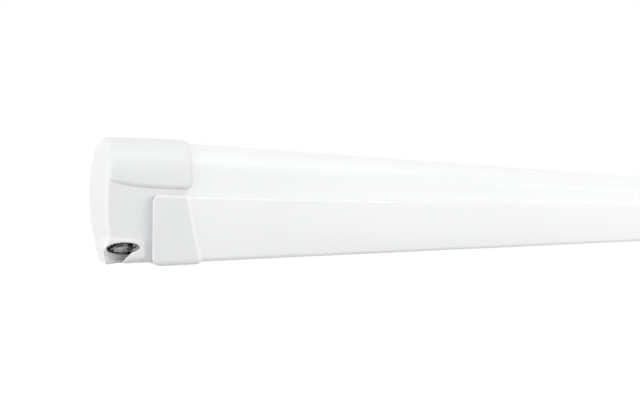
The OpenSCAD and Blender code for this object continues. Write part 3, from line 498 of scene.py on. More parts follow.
casting = surface(
    "grey_casting", cast_grain, {"Grain size": 0.0011}, "Stain",
    ((0.60, 0.61, 0.63), (0.46, 0.47, 0.49)), (0.38, 0.6), (0.25, 0.0003),
    Metallic=0.85, Specular_IOR_Level=0.5)
keep(casting, 0.5, "left_end_plate", "right_end_plate", "gearbox_housing")

natural = surface(
    "natural_bearing_plastic", coat_skin, {"Ripple size": 0.0016, "Cloud size": 0.03}, "Cloud",
    ((0.80, 0.79, 0.76), (0.72, 0.71, 0.68)), (0.32, 0.5), (0.1, 0.0003))
keep(natural, 0.3, "roller_bushes")

PLATE_FACE = 1252.0
plate_screw = dict(Flange_radius=4.5, Flange_height=0.9, Hex_radius=3.6, Hex_height=2.1,
                   Shank_radius=1.95, Shank_length=26.0)
for side, sign in (("left", -1), ("right", 1)):
    seats = [(sign * PLATE_FACE, y, z) for y, z in SCREW_PORTS]
    screws = set_screws(side + "_plate_screws", seats, (0, -sign * math.pi / 2, 0), **plate_screw)
    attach(screws, "cassette")
    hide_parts("end_plate_screws")

# ROLLER AND ROLL OF FABRIC
# A slotted aluminium tube on cast plugs, turned by a worm and wheel at the winch end. The woven
# fabric is wound on it in ten turns and leaves it at the underside.
keep(anodised, 0, "roller_tube")
keep(casting, 0.5, "left_roller_plug", "right_roller_plug")
keep(plated, 0, "worm_wheel", "worm_shaft")

FABRIC_X, FABRIC_T = 1172.0, 0.5
ROLLER_Y, ROLLER_Z, ROLLER_R = -45.433, 31.911, 28.0
TURNS, ROLL_R = 10.357, 33.233
SHEET_SHARE = 0.46
LEAVES_AT = math.radians(-86.5)
STEPS_A_TURN = 72

weave, given, made = effect("weave", {"Thread": 0.0009}, ("Threads", "Slub"))
link = weave.links.new
where = put(weave, "ShaderNodeTexCoord")
split = put(weave, "ShaderNodeSeparateXYZ")
link(where.outputs["Object"], split.inputs[0])
rate = put(weave, "ShaderNodeMath", operation="DIVIDE")
rate.inputs[0].default_value = math.pi
link(given.outputs["Thread"], rate.inputs[1])
around = put(weave, "ShaderNodeMath", operation="ADD")
link(split.outputs["Y"], around.inputs[0])
link(split.outputs["Z"], around.inputs[1])
waves = []
for source in (split.outputs["X"], around.outputs[0]):
    turn = put(weave, "ShaderNodeMath", operation="MULTIPLY")
    wave = put(weave, "ShaderNodeMath", operation="SINE")
    link(source, turn.inputs[0])
    link(rate.outputs[0], turn.inputs[1])
    link(turn.outputs[0], wave.inputs[0])
    waves.append(wave)
over = put(weave, "ShaderNodeMath", operation="MULTIPLY_ADD")
over.inputs[2].default_value = 0.5
half = put(weave, "ShaderNodeMath", operation="MULTIPLY")
half.inputs[1].default_value = 0.5
link(waves[0].outputs[0], half.inputs[0])
link(half.outputs[0], over.inputs[0])
link(waves[1].outputs[0], over.inputs[1])
link(over.outputs[0], made.inputs["Threads"])
slub = put(weave, "ShaderNodeTexNoise", Scale=120.0, Detail=4.0)
link(where.outputs["Object"], slub.inputs["Vector"])
link(slub.outputs["Fac"], made.inputs["Slub"])

fabric = surface(
    "woven_awning_fabric", weave, {"Thread": 0.0009}, "Threads",
    ((0.44, 0.465, 0.49), (0.33, 0.355, 0.38)), (0.72, 0.92), (0.5, 0.0002),
    Specular_IOR_Level=0.3, Sheen_Weight=0.25, Sheen_Roughness=0.5)

count = round(TURNS * STEPS_A_TURN)
angle = LEAVES_AT + np.linspace(0, TURNS * 2 * math.pi, count + 1)
middle = np.linspace(ROLL_R - FABRIC_T / 2, ROLLER_R + FABRIC_T / 2, count + 1)
faces_of_sheet = []
for half_t in (SHEET_SHARE * FABRIC_T, -SHEET_SHARE * FABRIC_T):
    radius = middle + half_t
    spiral = [ROLLER_Y + radius * np.cos(angle), ROLLER_Z + radius * np.sin(angle)]
    faces_of_sheet.append(np.column_stack(spiral))
roll_loop = np.concatenate([faces_of_sheet[0], faces_of_sheet[1][::-1]])
size = len(roll_loop)
points = np.concatenate([np.column_stack([np.full(size, x), roll_loop]) for x in (-FABRIC_X, FABRIC_X)])
faces = [(i, (i + 1) % size, (i + 1) % size + size, i + size) for i in range(size)]
for i in range(count):
    rim = (i, i + 1, size - 2 - i, size - 1 - i)
    faces += [rim, tuple(k + size for k in reversed(rim))]
roll = add_piece("fabric_roll_wound", fabric, points, faces, bend=50)
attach(roll, "roller")
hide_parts("fabric_roll")

# FOLDING ARMS
# Two sprung arms of rounded aluminium tube with cast knuckles, folded between the roller and
# the rail. Steel pins hold them in brackets on the case and on the rail.
keep(plated, 0.4, "shoulder_pins", "wrist_pins")
for side in ("left_", "right_"):
    keep(white_coat, 0, side + "upper_arm", side + "forearm")
    keep(casting, 0.6, side + "shoulder_bracket", side + "shoulder_knuckle", side + "elbow_fork",
         side + "elbow_knuckle", side + "wrist_knuckle", side + "wrist_bracket")
    keep(plated, 0.4, side + "elbow_pin", side + "arm_spring")

# LEAD RAIL
# The front extrusion rides out with the fabric: a hollow box above, with a groove for the
# fabric's piping, and an open channel below for the two legs. Same satin white coat as the case.
RAIL_FRONT, RAIL_BACK = -118.55, -80.55
RAIL_LOW, RAIL_TOP, RAIL_DECK = -75.0, 4.45, 1.45
NOSE_BACK = -109.55
NOSE_ROUND, FOOT_ROUND = 5.5, 6.0
RAIL_WALL = 2.0
RAIL_INSIDE = RAIL_FRONT + RAIL_WALL
RAIL_END = 1236.7
CHANNEL_LOW, CHANNEL_TOP = -68.0, -33.0
FOOT_INSIDE, FOOT_TOP = -114.05, -72.0
SLANT_RISE, SLANT_RUN, SLANT_LENGTH, SLANT_SHIFT = 4.0, 2.5, 4.72, 2.12
HOLLOW_BACK, HOLLOW_LOW, HOLLOW_TOP = -82.55, -31.0, -0.55
GROOVE, GROOVE_R, GROOVE_TILT = (-87.55, -3.95), 3.4, math.radians(10)
GROOVE_WALL, GROOVE_FLOOR, SLOT_HALF = 5.4, -7.45, 1.5
PIPING_R = 3.2
RAIL_ROOM, RAIL_STEP = ((-122, -79), (-76, 8)), 0.3


def rail_view(y, z):
    """Outside of the rail's section: a box with a raised nose at its front."""
    nose = both(both(RAIL_FRONT - y, z - RAIL_TOP, NOSE_ROUND), y - NOSE_BACK, 0.8)
    box = both(RAIL_FRONT - y, z - RAIL_DECK, 0.5)
    shape = either(nose, both(box, y - RAIL_BACK, 0.8), 0.6)
    return both(shape, both(RAIL_LOW - z, RAIL_FRONT - y, FOOT_ROUND), 0.01)


def rail_section(y, z):
    """The rail's walls round the hollow box, the piping's groove and the open leg channel."""
    slant = (RAIL_INSIDE - y) * SLANT_RISE + (FOOT_TOP - z) * SLANT_RUN
    slant = np.maximum(slant / SLANT_LENGTH + SLANT_SHIFT, span(z, FOOT_TOP - 0.5, CHANNEL_LOW))
    foot = np.maximum(FOOT_INSIDE - y, z - FOOT_TOP)
    channel = np.maximum(RAIL_INSIDE - y, span(z, CHANNEL_LOW, CHANNEL_TOP))
    channel = np.minimum(np.minimum(channel, foot), slant)
    shape = both(rail_view(y, z), -channel, 0.6)
    hollow = both(span(y, RAIL_INSIDE, HOLLOW_BACK), span(z, HOLLOW_LOW, HOLLOW_TOP), 1.5)
    back, up = y - GROOVE[0], z - GROOVE[1]
    to_groove = np.hypot(back, up)
    groove_wall = np.minimum(to_groove - GROOVE_WALL, np.maximum(-back, GROOVE_FLOOR - z))
    shape = both(shape, -np.maximum(hollow, -groove_wall), 0.6)
    out = back * math.cos(GROOVE_TILT) + up * math.sin(GROOVE_TILT)
    side = up * math.cos(GROOVE_TILT) - back * math.sin(GROOVE_TILT)
    slot = np.maximum(np.abs(side) - SLOT_HALF, -out)
    return both(shape, -either(to_groove - GROOVE_R, slot, 0.3), 0.5)


rail_loops = outline(rail_section, *RAIL_ROOM, RAIL_STEP)
rail = drawn_through("lead_rail_profile", white_coat, rail_loops, -RAIL_END, RAIL_END)
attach(rail, "lead_rail")
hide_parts("front_rail")

# RAIL CAPS
# Moulded caps pushed over both ends of the rail, their inner edge slanting and bevelled down
# to the rail. White plastic with a fine moulded grain, a shade greyer than the coat; the bevel is
# lighter as a painted highlight.
white_moulding = surface(
    "white_moulded_plastic", coat_skin, {"Ripple size": 0.0009, "Cloud size": 0.12}, "Cloud",
    ((0.81, 0.816, 0.822), (0.795, 0.802, 0.809)), (0.34, 0.5), (0.1, 0.0002), Specular_IOR_Level=0.5)


def painted_light(material, colour):
    """Painted light and shade: where faces are marked, a material's base colour is another one."""
    tree = material.node_tree
    base = tree.nodes["Principled BSDF"].inputs["Base Color"]
    marks = put(tree, "ShaderNodeAttribute", attribute_name="painted_light")
    mix = put(tree, "ShaderNodeMix", data_type="RGBA")
    mix.inputs[7].default_value = (*colour, 1)
    tree.links.new(marks.outputs["Fac"], mix.inputs[0])
    tree.links.new(base.links[0].from_socket, mix.inputs[6])
    tree.links.new(mix.outputs[2], base)


def mark_painted_light(piece, faces):
    """Says for each face of a piece whether it takes the other, painted-light colour."""
    marks = piece.data.attributes.new("painted_light", "FLOAT", "FACE")
    marks.data.foreach_set("value", np.asarray(faces, dtype=np.float32))


# Painted highlight: the rail caps' bevel faces get this lighter base colour.
painted_light(white_moulding, (0.9, 0.905, 0.91))

RAIL_CAP_END, RAIL_CAP_PROUD, RAIL_CAP_DROP = 1242.5, 3.0, 0.4
RAIL_CAP_TOP, TOP_CORNER, LOW_CORNER = 6.45, 9.0, 11.0
RAIL_CAP_EDGE, RAIL_CAP_FIT = 2.4, 0.1
LIP_DEEP, LIP_BACK = 3.0, -117.0
SEAM_TOP, SEAM_LOW, SEAM_TAIL = 1200.0, 1182.5, 3.0
BEVEL_RUN, BEVEL_NEAR = 5.5, 0.12
GRIP, GRIP_FROM, GRIP_TO = 1.3, -14.0, -8.0
CAP_NOSE_BACK = -111.55
RAIL_CAP_ROOM, RAIL_CAP_STEP = ((-1245, -123, -80), (-1184, -78, 9)), 0.9
SHADING_REACH = 0.35


def skin_mesh(field, low, high, step):
    """Points, quads and surface directions where a field in space is zero."""
    axes = [np.arange(a, b + step, step) for a, b in zip(low, high)]
    grid = field(*np.meshgrid(*axes, indexing="ij"))
    shape = grid.shape
    stride = np.array([shape[1] * shape[2], shape[2], 1])
    points, cells, quads = [], [], []
    for axis in range(3):
        at, place, leaving = crossings(field, axes, grid, axis, step)
        u, v = stride[(axis + 1) % 3], stride[(axis + 2) % 3]
        here = at @ stride
        ring = np.stack([here, here - u, here - u - v, here - v], 1)
        quads.append(np.where(leaving[:, None], ring, ring[:, ::-1]))
        points += [place] * 4
        cells += [ring[:, i] for i in range(4)]
    points, cells = np.concatenate(points), np.concatenate(cells)
    names, index = np.unique(cells, return_inverse=True)
    spots = settle(points, slope(field, points), index, len(names), step)
    quads = np.searchsorted(names, np.concatenate(quads))
    return spots, quads, slope(field, spots, SHADING_REACH)


def mirrored(spots, quads, normals):
    """A left mesh turned into the right one."""
    return spots * (-1, 1, 1), quads[:, ::-1], normals * (-1, 1, 1)


def ramp(v, low, high):
    """0 below low and 1 above high, with a smooth rise between them."""
    t = np.clip((v - low) / (high - low), 0, 1)
    return t * t * (3 - 2 * t)


def rail_cap_plan(x, z):
    """A rail cap's outer end as seen from the front, with its two rounded corners."""
    plan = both(-RAIL_CAP_END - x, z - RAIL_CAP_TOP, TOP_CORNER)
    return both(plan, RAIL_LOW - RAIL_CAP_PROUD - RAIL_CAP_DROP - z, LOW_CORNER)


def rail_cap_bevel(x, y, z):
    """How far beyond a cap's slanting seam and beyond its bevel a point lies."""
    lean = (SEAM_TOP - SEAM_LOW) / (RAIL_CAP_TOP - RAIL_LOW + RAIL_CAP_PROUD)
    seam = (x + SEAM_TOP + (z - RAIL_CAP_TOP) * lean) / math.hypot(1, lean)
    bevel = RAIL_CAP_PROUD * seam + BEVEL_RUN * rail_view(y, z)
    return seam, bevel / math.hypot(RAIL_CAP_PROUD, BEVEL_RUN)


def rail_cap_form(x, y, z):
    """A left rail cap round the rail's end, less the rail and the room for what folds behind it."""
    over = rail_view(y, z)
    around = rail_view(y, z + RAIL_CAP_DROP * ramp(-z, 20, 70)) - RAIL_CAP_PROUD
    form = both(around, rail_cap_plan(x, z), RAIL_CAP_EDGE)
    form = both(form, -np.maximum(x + RAIL_CAP_END - LIP_DEEP, LIP_BACK - y), 0.5)
    seam, bevel = rail_cap_bevel(x, y, z)
    form = both(form, np.maximum(bevel, seam - SEAM_TAIL), 0.3)
    form = np.maximum(form, y - RAIL_BACK + 0.3)
    rail_room = over - RAIL_CAP_FIT + GRIP * ramp(seam, GRIP_FROM, GRIP_TO)
    form = np.maximum(form, -np.maximum(-RAIL_END - x, rail_room))
    below = np.maximum(RAIL_INSIDE - y, z - CHANNEL_TOP)
    above = np.maximum(NOSE_BACK - 0.5 - y, RAIL_DECK - z)
    opening = np.maximum(np.minimum(below, above), FOOT_INSIDE - y)
    form = np.maximum(form, -np.maximum(-RAIL_END - x, opening))
    return np.maximum(form, -np.maximum(CAP_NOSE_BACK - y, RAIL_DECK - z))


cap_skin = skin_mesh(rail_cap_form, *RAIL_CAP_ROOM, RAIL_CAP_STEP)
middles = cap_skin[0][cap_skin[1]].mean(1)
# The bevel's faces, which take the painted highlight.
bevel_highlight = np.abs(rail_cap_bevel(*middles.T)[1]) < BEVEL_NEAR
bevel_highlight &= rail_view(*middles.T[1:]) > 0
for side, (spots, quads, normals) in (("left", cap_skin), ("right", mirrored(*cap_skin))):
    cap = add_piece(side + "_rail_end_cap", white_moulding, spots, quads.tolist(), normals)
    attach(cap, "lead_rail")
    # Marks the bevel for its painted highlight.
    mark_painted_light(cap, bevel_highlight)
    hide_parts(side + "_rail_cap")

# FABRIC TO THE RAIL
# The run of fabric from the underside of the roll to the rail, with a piping sewn to its front
# edge that is slid into the rail's groove.
LEAD_FROM, LEAD_TO = np.array((-84.06, -3.78)), np.array((-43.38, -1.77))
LEAD_STEPS, LEAD_COLUMNS, LEAD_HALF = 64, 24, 0.22
across = np.linspace(-FABRIC_X, FABRIC_X, LEAD_COLUMNS + 1)
run = LEAD_TO - LEAD_FROM
normal = np.array((-run[1], run[0])) / np.hypot(*run)
points = []
for face in (LEAD_HALF, -LEAD_HALF):
    for i in range(LEAD_STEPS + 1):
        y, z = LEAD_FROM + run * i / LEAD_STEPS + normal * face
        points += [(x, y, z) for x in across]
row, layer = LEAD_COLUMNS + 1, (LEAD_COLUMNS + 1) * (LEAD_STEPS + 1)
faces = []
for i in range(LEAD_STEPS):
    for j in range(LEAD_COLUMNS):
        a = i * row + j
        faces.append((a, a + 1, a + 1 + row, a + row))
        faces.append((a + layer, a + row + layer, a + 1 + row + layer, a + 1 + layer))
rim = list(range(row))
rim += [i * row + row - 1 for i in range(1, LEAD_STEPS + 1)]
rim += [LEAD_STEPS * row + j for j in range(row - 2, -1, -1)]
rim += [i * row for i in range(LEAD_STEPS - 1, 0, -1)]
for a, b in zip(rim, rim[1:] + rim[:1]):
    faces.append((a, a + layer, b + layer, b))
lead = add_piece("fabric_run", fabric, points, faces)
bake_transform(lead)
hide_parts("fabric_lead")

PIPING_SIDES, PIPING_RINGS = 20, 60
points, faces = [], []
for i in range(PIPING_RINGS + 1):
    x = -FABRIC_X + 2 * FABRIC_X * i / PIPING_RINGS
    for k in range(PIPING_SIDES):
        turn = 2 * math.pi * k / PIPING_SIDES
        points.append((x, GROOVE[0] + PIPING_R * math.cos(turn), GROOVE[1] + PIPING_R * math.sin(turn)))
for i in range(PIPING_RINGS):
    for k in range(PIPING_SIDES):
        a, b = i * PIPING_SIDES + k, i * PIPING_SIDES + (k + 1) % PIPING_SIDES
        faces.append((a, b, b + PIPING_SIDES, a + PIPING_SIDES))
last = PIPING_RINGS * PIPING_SIDES
faces += [tuple(range(PIPING_SIDES)), tuple(last + k for k in reversed(range(PIPING_SIDES)))]
piping = add_piece("fabric_piping", fabric, points, faces)
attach(piping, "lead_rail")
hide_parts("front_piping")

# LEGS
# Two telescopic aluminium legs fold out of the rail: a hinge block on a pin, an outer tube with
# a clamp collar and cam lever, an inner tube and a swivelling shoe.
black_moulding = surface(
    "black_moulded_plastic", coat_skin, {"Ripple size": 0.0008, "Cloud size": 0.02}, "Cloud",
    ((0.030, 0.030, 0.032), (0.018, 0.018, 0.02)), (0.38, 0.58), (0.25, 0.0003), Specular_IOR_Level=0.5)
rubber = surface(
    "black_rubber", coat_skin, {"Ripple size": 0.0012, "Cloud size": 0.015}, "Cloud",
    ((0.030, 0.029, 0.028), (0.014, 0.014, 0.014)), (0.62, 0.85), (0.3, 0.0003), Specular_IOR_Level=0.4)

keep(casting, 0.4, "leg_brackets")
keep(plated, 0.3, "leg_pins")
for side in ("left_", "right_"):
    keep(anodised, 0, side + "leg_tube", side + "leg_extension")
    keep(white_moulding, 0.4, side + "leg_hinge")
    keep(black_moulding, 0.5, side + "leg_collar", side + "leg_lever")
    keep(rubber, 0.5, side + "foot")

# SEAL
# A black rubber strip with a round bead, pushed inside the case's front edge to keep rain off
# the rail's deck.
keep(rubber, 0, "cassette_seal")

# END CAPS
# Moulded caps close both ends of the case: a crowned side, a set-back lower face, a thin sleeve
# on the case and a hood that flares out over the dome. The left one has a raised field with
# the winch mouth.
CAP_END, SIDE_CROWN, CROWN_REACH = -1300.0, 9.0, 76.0
TUCK, TUCK_FROM_Y, TUCK_FROM_Z = 6.8, -75.0, 40.0
TAPER, TAPER_LOW, TAPER_FROM, TAPER_Z = 8.5, 2.0, -45.0, (-56, -40)
CAP_LOW, CAP_EDGE, NO_FLOOR = -74.0, 5.5, -200.0
LOW_EDGE, LOW_SWELL, LOW_SWELL_X = 2.0, 7.0, (-1293, -1278)
BODY_END, RAISED_BACK = -1245.5, -87.5
FLANGE_END, FLANGE_TOP, FLANGE_DEEP, FLANGE_GAP = -1232.0, 2.7, 4.0, 0.3
LIP_FOOT = LIP_DEEP - RAIL_CAP_END
RIM_TO, RIM_PROUD, RIM_BOW, RIM_BOW_AT = -1286.8, 1.4, 1.8, 40.0
RECESS_PROUD = 0.5
HOOD_FROM, HOOD_RUN, HOOD_PROUD = -1288.0, 91.0, 3.6
HOOD_END, HOOD_SWEEP, SWEEP_FROM, SWEEP_RUN = -1193.5, 10.0, 35.0, 45.0
SWELL_FRONT, SWELL_CROWN, SWELL_Z = 0.62, 1.15, (35, 70)
HOOD_LOW, HOOD_RISE, HOOD_CURVE = 12.9, 7.1, 3.4
HOOD_LIP, HOOD_CORNER, CROWN_LIP, CROWN_LIP_Z = 6.0, 10.0, 2.0, (50, 75)
CAP_WALL, SEAT = 2.5, 0.1
FIELD_PROUD, FIELD_X = 3.0, (-1310.5, -1248.4)
FIELD_TOP, FIELD_TOP_AT, FIELD_TOP_SLOPE = -44.8, -1284.2, 0.085
FIELD_FOOT, FIELD_FOOT_AT, FIELD_FOOT_SLOPE = -69.8, -1249.0, 0.14
LEAN = math.radians(18)
WORM = (-1274.0, -66.357, 38.709)
MOUTH_REACH = 102.737
SCOOP_R, SCOOP_BACK, SCOOP_TILT, SCOOP_DRIFT = 19.0, 9.0, 0.35, 1.24
SCOOP_START, SCOOP_LEFT, SCOOP_EDGE = -11.0, 24.0, 18.0
SCOOP_WALL, SCOOP_TOP = 8.0, -58.0
BLOCK_X, BLOCK_Z, BLOCK_BACK = (-1297, -1251), (-66, -46), -86.0
SLOT_X, SLOT_Z, SLOT_HALF_W, SLOT_HALF_H, SLOT_BACK = -1272.6, -55.5, 18.1, 6.0, -97.5
BELL_ROOM_R, BELL_NECK_R, BELL_CONE, BELL_CONE_FROM = 14.0, 9.8, 1.2, 6.0
CLIP_ROOM_R, CLIP_ROOM, CLIP_COVER = 17.3, (2.2, 9.0), 1.5
CAP_ROOM, CAP_STEP = ((-1304, -116, -77), (-1179, -2, 86)), 1.15


def cap_body(x, y, z, proud, edge):
    """A cap's crowned side and section, its front moved out by proud; edge scales the side's rounding."""
    low = np.clip((TUCK_FROM_Z - z) / (TUCK_FROM_Z - CAP_LOW), 0, 1)
    back = np.clip((y - TUCK_FROM_Y) / (BACK_Y - TUCK_FROM_Y), 0, 1)
    fore = np.clip((TAPER_FROM - y) / (TAPER_FROM - FACE_Y), 0, 1.1)
    taper = TAPER_LOW + (TAPER - TAPER_LOW) * ramp(z, *TAPER_Z)
    side = CAP_END + SIDE_CROWN * (z / CROWN_REACH) ** 2 + TUCK * low ** 1.5 * back ** 2 + taper * fore ** 2
    view = both(end_view(y + proud, z, NO_FLOOR, 0.1), side - x, edge * CAP_EDGE)
    return both(view, CAP_LOW - z, LOW_EDGE + LOW_SWELL * ramp(x, *LOW_SWELL_X))


def cap_hood(x, y, z):
    """The hood over the dome, flaring out from the side, with a rolled-under lower edge."""
    swell = SWELL_FRONT + (SWELL_CROWN - SWELL_FRONT) * ramp(z, *SWELL_Z)
    flare = HOOD_PROUD * np.sin(np.clip((x - HOOD_FROM) / HOOD_RUN, 0, 1) ** swell * math.pi / 2)
    left = np.clip((HOOD_FROM + HOOD_RUN - x) / HOOD_RUN, 0, 1)
    lip = np.sqrt(np.maximum(HOOD_LIP ** 2 - np.maximum(HOOD_LIP - RIM_PROUD - flare, 0) ** 2, 0))
    under = HOOD_LOW + HOOD_RISE * left ** HOOD_CURVE - HOOD_LIP + lip - z
    end = x - HOOD_END - HOOD_SWEEP * (np.maximum(z - SWEEP_FROM, 0) / SWEEP_RUN) ** 2
    body = cap_body(x, y, z, RIM_PROUD, 1) - flare
    hood = both(body, both(under, end, HOOD_CORNER), HOOD_LIP + CROWN_LIP * ramp(z, *CROWN_LIP_Z))
    return np.maximum(hood, y - BACK_Y)


def winch_field(x, y, z):
    """The raised field round the winch mouth, its upper and lower edge a little aslant."""
    top = FIELD_TOP - (x - FIELD_TOP_AT) * FIELD_TOP_SLOPE
    foot = FIELD_FOOT + (x - FIELD_FOOT_AT) * FIELD_FOOT_SLOPE
    plan = both(span(x, *FIELD_X), span(z, foot, top), 4.0)
    return both(cap_body(x, y, z, FIELD_PROUD, 0.8), plan, 1.6)


def with_winch_mouth(form, shell, x, y, z):
    """A cap's form with a block behind the field, cut out for the scoop, the bell and its clip."""
    across, down = y - WORM[1], z - WORM[2]
    along = across * math.sin(LEAN) + down * math.cos(LEAN) + MOUTH_REACH
    behind = across * math.cos(LEAN) - down * math.sin(LEAN)
    aside = x - WORM[0] + SCOOP_DRIFT * np.maximum(-along, 0)
    scoop = np.hypot(np.maximum(aside, 0), behind) - SCOOP_R
    tilted = behind - SCOOP_BACK - SCOOP_TILT * (aside + SCOOP_EDGE)
    scoop = both(scoop, tilted / math.hypot(1, SCOOP_TILT), 5.0)
    scoop = both(scoop, (behind - SCOOP_START - (x - WORM[0] + SCOOP_LEFT)) / math.sqrt(2), 6.0)
    wall = np.maximum(np.maximum(scoop - SCOOP_WALL, along - 0.5), shell + 0.3)
    block = np.maximum(span(x, *BLOCK_X), span(z, *BLOCK_Z))
    block = np.maximum(block, np.maximum(y - BLOCK_BACK, shell + 0.5))
    form = np.minimum(form, np.minimum(wall, block))
    oval = np.hypot((x - SLOT_X) / SLOT_HALF_W, (z - SLOT_Z) / SLOT_HALF_H) - 1
    slot = np.maximum(oval * SLOT_HALF_H, y - SLOT_BACK)
    from_shaft = np.hypot(x - WORM[0], behind)
    bell_r = np.maximum(BELL_ROOM_R - BELL_CONE * np.maximum(along - BELL_CONE_FROM, 0), BELL_NECK_R)
    bell_room = np.maximum(from_shaft - bell_r, span(along, -1, 30))
    clip_room = np.maximum(from_shaft - CLIP_ROOM_R, span(along, *CLIP_ROOM))
    clip_room = np.maximum(clip_room, form + CLIP_COVER)
    scoop = both(np.maximum(scoop, along - 1.0), z - SCOOP_TOP, 5.0)
    form = both(form, -scoop, 3.5)
    return both(form, -np.minimum(np.minimum(slot, clip_room), bell_room), 1.0)


def cap_form(x, y, z, winch):
    """A left end cap with or without the winch field, less the room for the case and its end plate."""
    shell = cap_body(x, y, z, RECESS_PROUD, 1)
    form = np.maximum(shell, x - BODY_END)
    flange = np.maximum(np.maximum(shell, -shell - FLANGE_DEEP), np.maximum(x - FLANGE_END, z - FLANGE_TOP))
    flange = np.maximum(flange, FLANGE_GAP - np.maximum(LIP_FOOT - x, rail_cap_plan(x, z)))
    form = np.minimum(form, flange)
    rim_end = x - RIM_TO - RIM_BOW * (z / RIM_BOW_AT) ** 2
    raised = both(cap_body(x, y, z, RIM_PROUD, 1), rim_end, 1.4)
    if winch:
        raised = either(raised, winch_field(x, y, z), 2.0)
    form = either(form, np.maximum(raised, y - RAISED_BACK), 0.8)
    form = either(form, cap_hood(x, y, z), 0.05)
    case_room = np.maximum(end_view(y, z, FLOOR_Z, CASE_EDGE), -mouth(y, z, SEAT))
    room = np.maximum(shell + CAP_WALL, x - BODY_END + CAP_WALL)
    room = np.minimum(room, np.maximum(case_room + CAP_WALL + SEAT, -PLATE_FACE - SEAT - x))
    room = np.minimum(room, np.maximum(case_room - SEAT, -CASE_END - SEAT - x))
    form = np.maximum(form, -room)
    return with_winch_mouth(form, shell, x, y, z) if winch else form


left_skin = skin_mesh(lambda x, y, z: cap_form(x, y, z, True), *CAP_ROOM, CAP_STEP)
right_skin = mirrored(*skin_mesh(lambda x, y, z: cap_form(x, y, z, False), *CAP_ROOM, CAP_STEP))
for side, (spots, quads, normals) in (("left", left_skin), ("right", right_skin)):
    cap = add_piece(side + "_case_end_cap", white_moulding, spots, quads.tolist(), normals)
    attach(cap, "cassette")
    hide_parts(side + "_end_cap")

SLEEVE_FROM, SLEEVE_TO, SLEEVE_TOP, SLEEVE_SHY = 1246.5, 1199.0, 17.0, 0.04
SLEEVE_ROOM, SLEEVE_STEP = ((-109, 2), (-106, 18)), 0.1


def sleeve_section(y, z):
    """The cap's thin sleeve on the case's face, below the hood."""
    skin = span(end_view(y, z, FLOOR_Z, CASE_EDGE), SEAT / 2, RECESS_PROUD - SLEEVE_SHY)
    return both(skin, span(z, LIP_Z, SLEEVE_TOP), 0.1)


sleeve_loops = outline(sleeve_section, *SLEEVE_ROOM, SLEEVE_STEP)
for side, x_from, x_to in (("left", -SLEEVE_FROM, -SLEEVE_TO), ("right", SLEEVE_TO, SLEEVE_FROM)):
    sleeve = drawn_through(side + "_cap_sleeve", white_moulding, sleeve_loops, x_from, x_to)
    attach(sleeve, "cassette")

# WINCH MOUTH
# A turned steel bell on the worm's shaft takes the end of the crank rod. Its rim is flared, a four-sided
# funnel inside leads the rod's hook home, and a clip guides it. Painted shade: the flank is coloured
# much darker than the rim and the funnel.
# Dark base colours that stand in for the shade and the dim reflections inside the winch mouth: painted
# shade.
winch_steel = surface(
    "shade_painted_winch_steel", drawn_lines, {"Line width": 0.0005, "Run": 0.003}, "Lines",
    ((0.075, 0.072, 0.07), (0.045, 0.043, 0.041)), (0.1, 0.24), (0.12, 0.0002),
    Metallic=1.0, Specular_IOR_Level=0.5)
# Painted shade: the flank keeps the dark colour, and the rim and the funnel get this lighter one.
painted_light(winch_steel, (0.24, 0.231, 0.225))

BELL_SIDES, RIM_RING, FUNNEL_END, FUNNEL_TURN = 96, 9, 19.0, math.radians(40)
bell_rings = [(0, 26), (5, 26), (8.6, 26), (9, 25.6), (9, 13.6), (9.2, 12.8), (12.6, 8.4), (13, 7.6),
              (13, 1.5), (12.85, 0.9), (12.3, 0.15), (12.0, 0), (11.7, 0.1), (11.5, 0.4)]
funnel = [(11.2, 1.0, 0.5), (9.8, 3.4, 1.0), (8.4, 6.0, 1.0), (7.6, 12.0, 1.0), (7.4, 18.0, 1.0)]


def on_shaft(r, turn, along):
    """A point round the winch shaft, along counted up from the mouth."""
    u, v = r * math.cos(turn), r * math.sin(turn)
    w = along - MOUTH_REACH
    return (WORM[0] + u, WORM[1] + v * math.cos(LEAN) + w * math.sin(LEAN),
            WORM[2] - v * math.sin(LEAN) + w * math.cos(LEAN))


def four_sided(turn, share):
    """Radius of a square of unit corner radius, eased towards a circle."""
    flat = math.cos(math.pi / 4) / math.cos((turn - FUNNEL_TURN) % (math.pi / 2) - math.pi / 4)
    return 1 + (flat - 1) * share


rings = [(r, along, 0.0) for r, along in bell_rings[1:]] + funnel
points = [on_shaft(0, 0, bell_rings[0][1])]
for r, along, share in rings:
    for k in range(BELL_SIDES):
        turn = 2 * math.pi * k / BELL_SIDES
        points.append(on_shaft(r * four_sided(turn, share), turn, along))
points.append(on_shaft(0, 0, FUNNEL_END))
faces = [(0, 1 + k, 1 + (k + 1) % BELL_SIDES) for k in range(BELL_SIDES)]
for i in range(len(rings) - 1):
    base = 1 + i * BELL_SIDES
    for k in range(BELL_SIDES):
        a, b = base + k, base + (k + 1) % BELL_SIDES
        faces.append((a, a + BELL_SIDES, b + BELL_SIDES, b))
base = 1 + (len(rings) - 1) * BELL_SIDES
for k in range(BELL_SIDES):
    faces.append((base + k, len(points) - 1, base + (k + 1) % BELL_SIDES))
bell = add_piece("winch_bell", winch_steel, points, faces, bend=22)
# Marks the rim and the funnel for the lighter colour; the flank stays in painted shade.
mark_painted_light(bell, [k >= RIM_RING * BELL_SIDES for k in range(len(faces))])
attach(bell, "winch")
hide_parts("winch_socket")

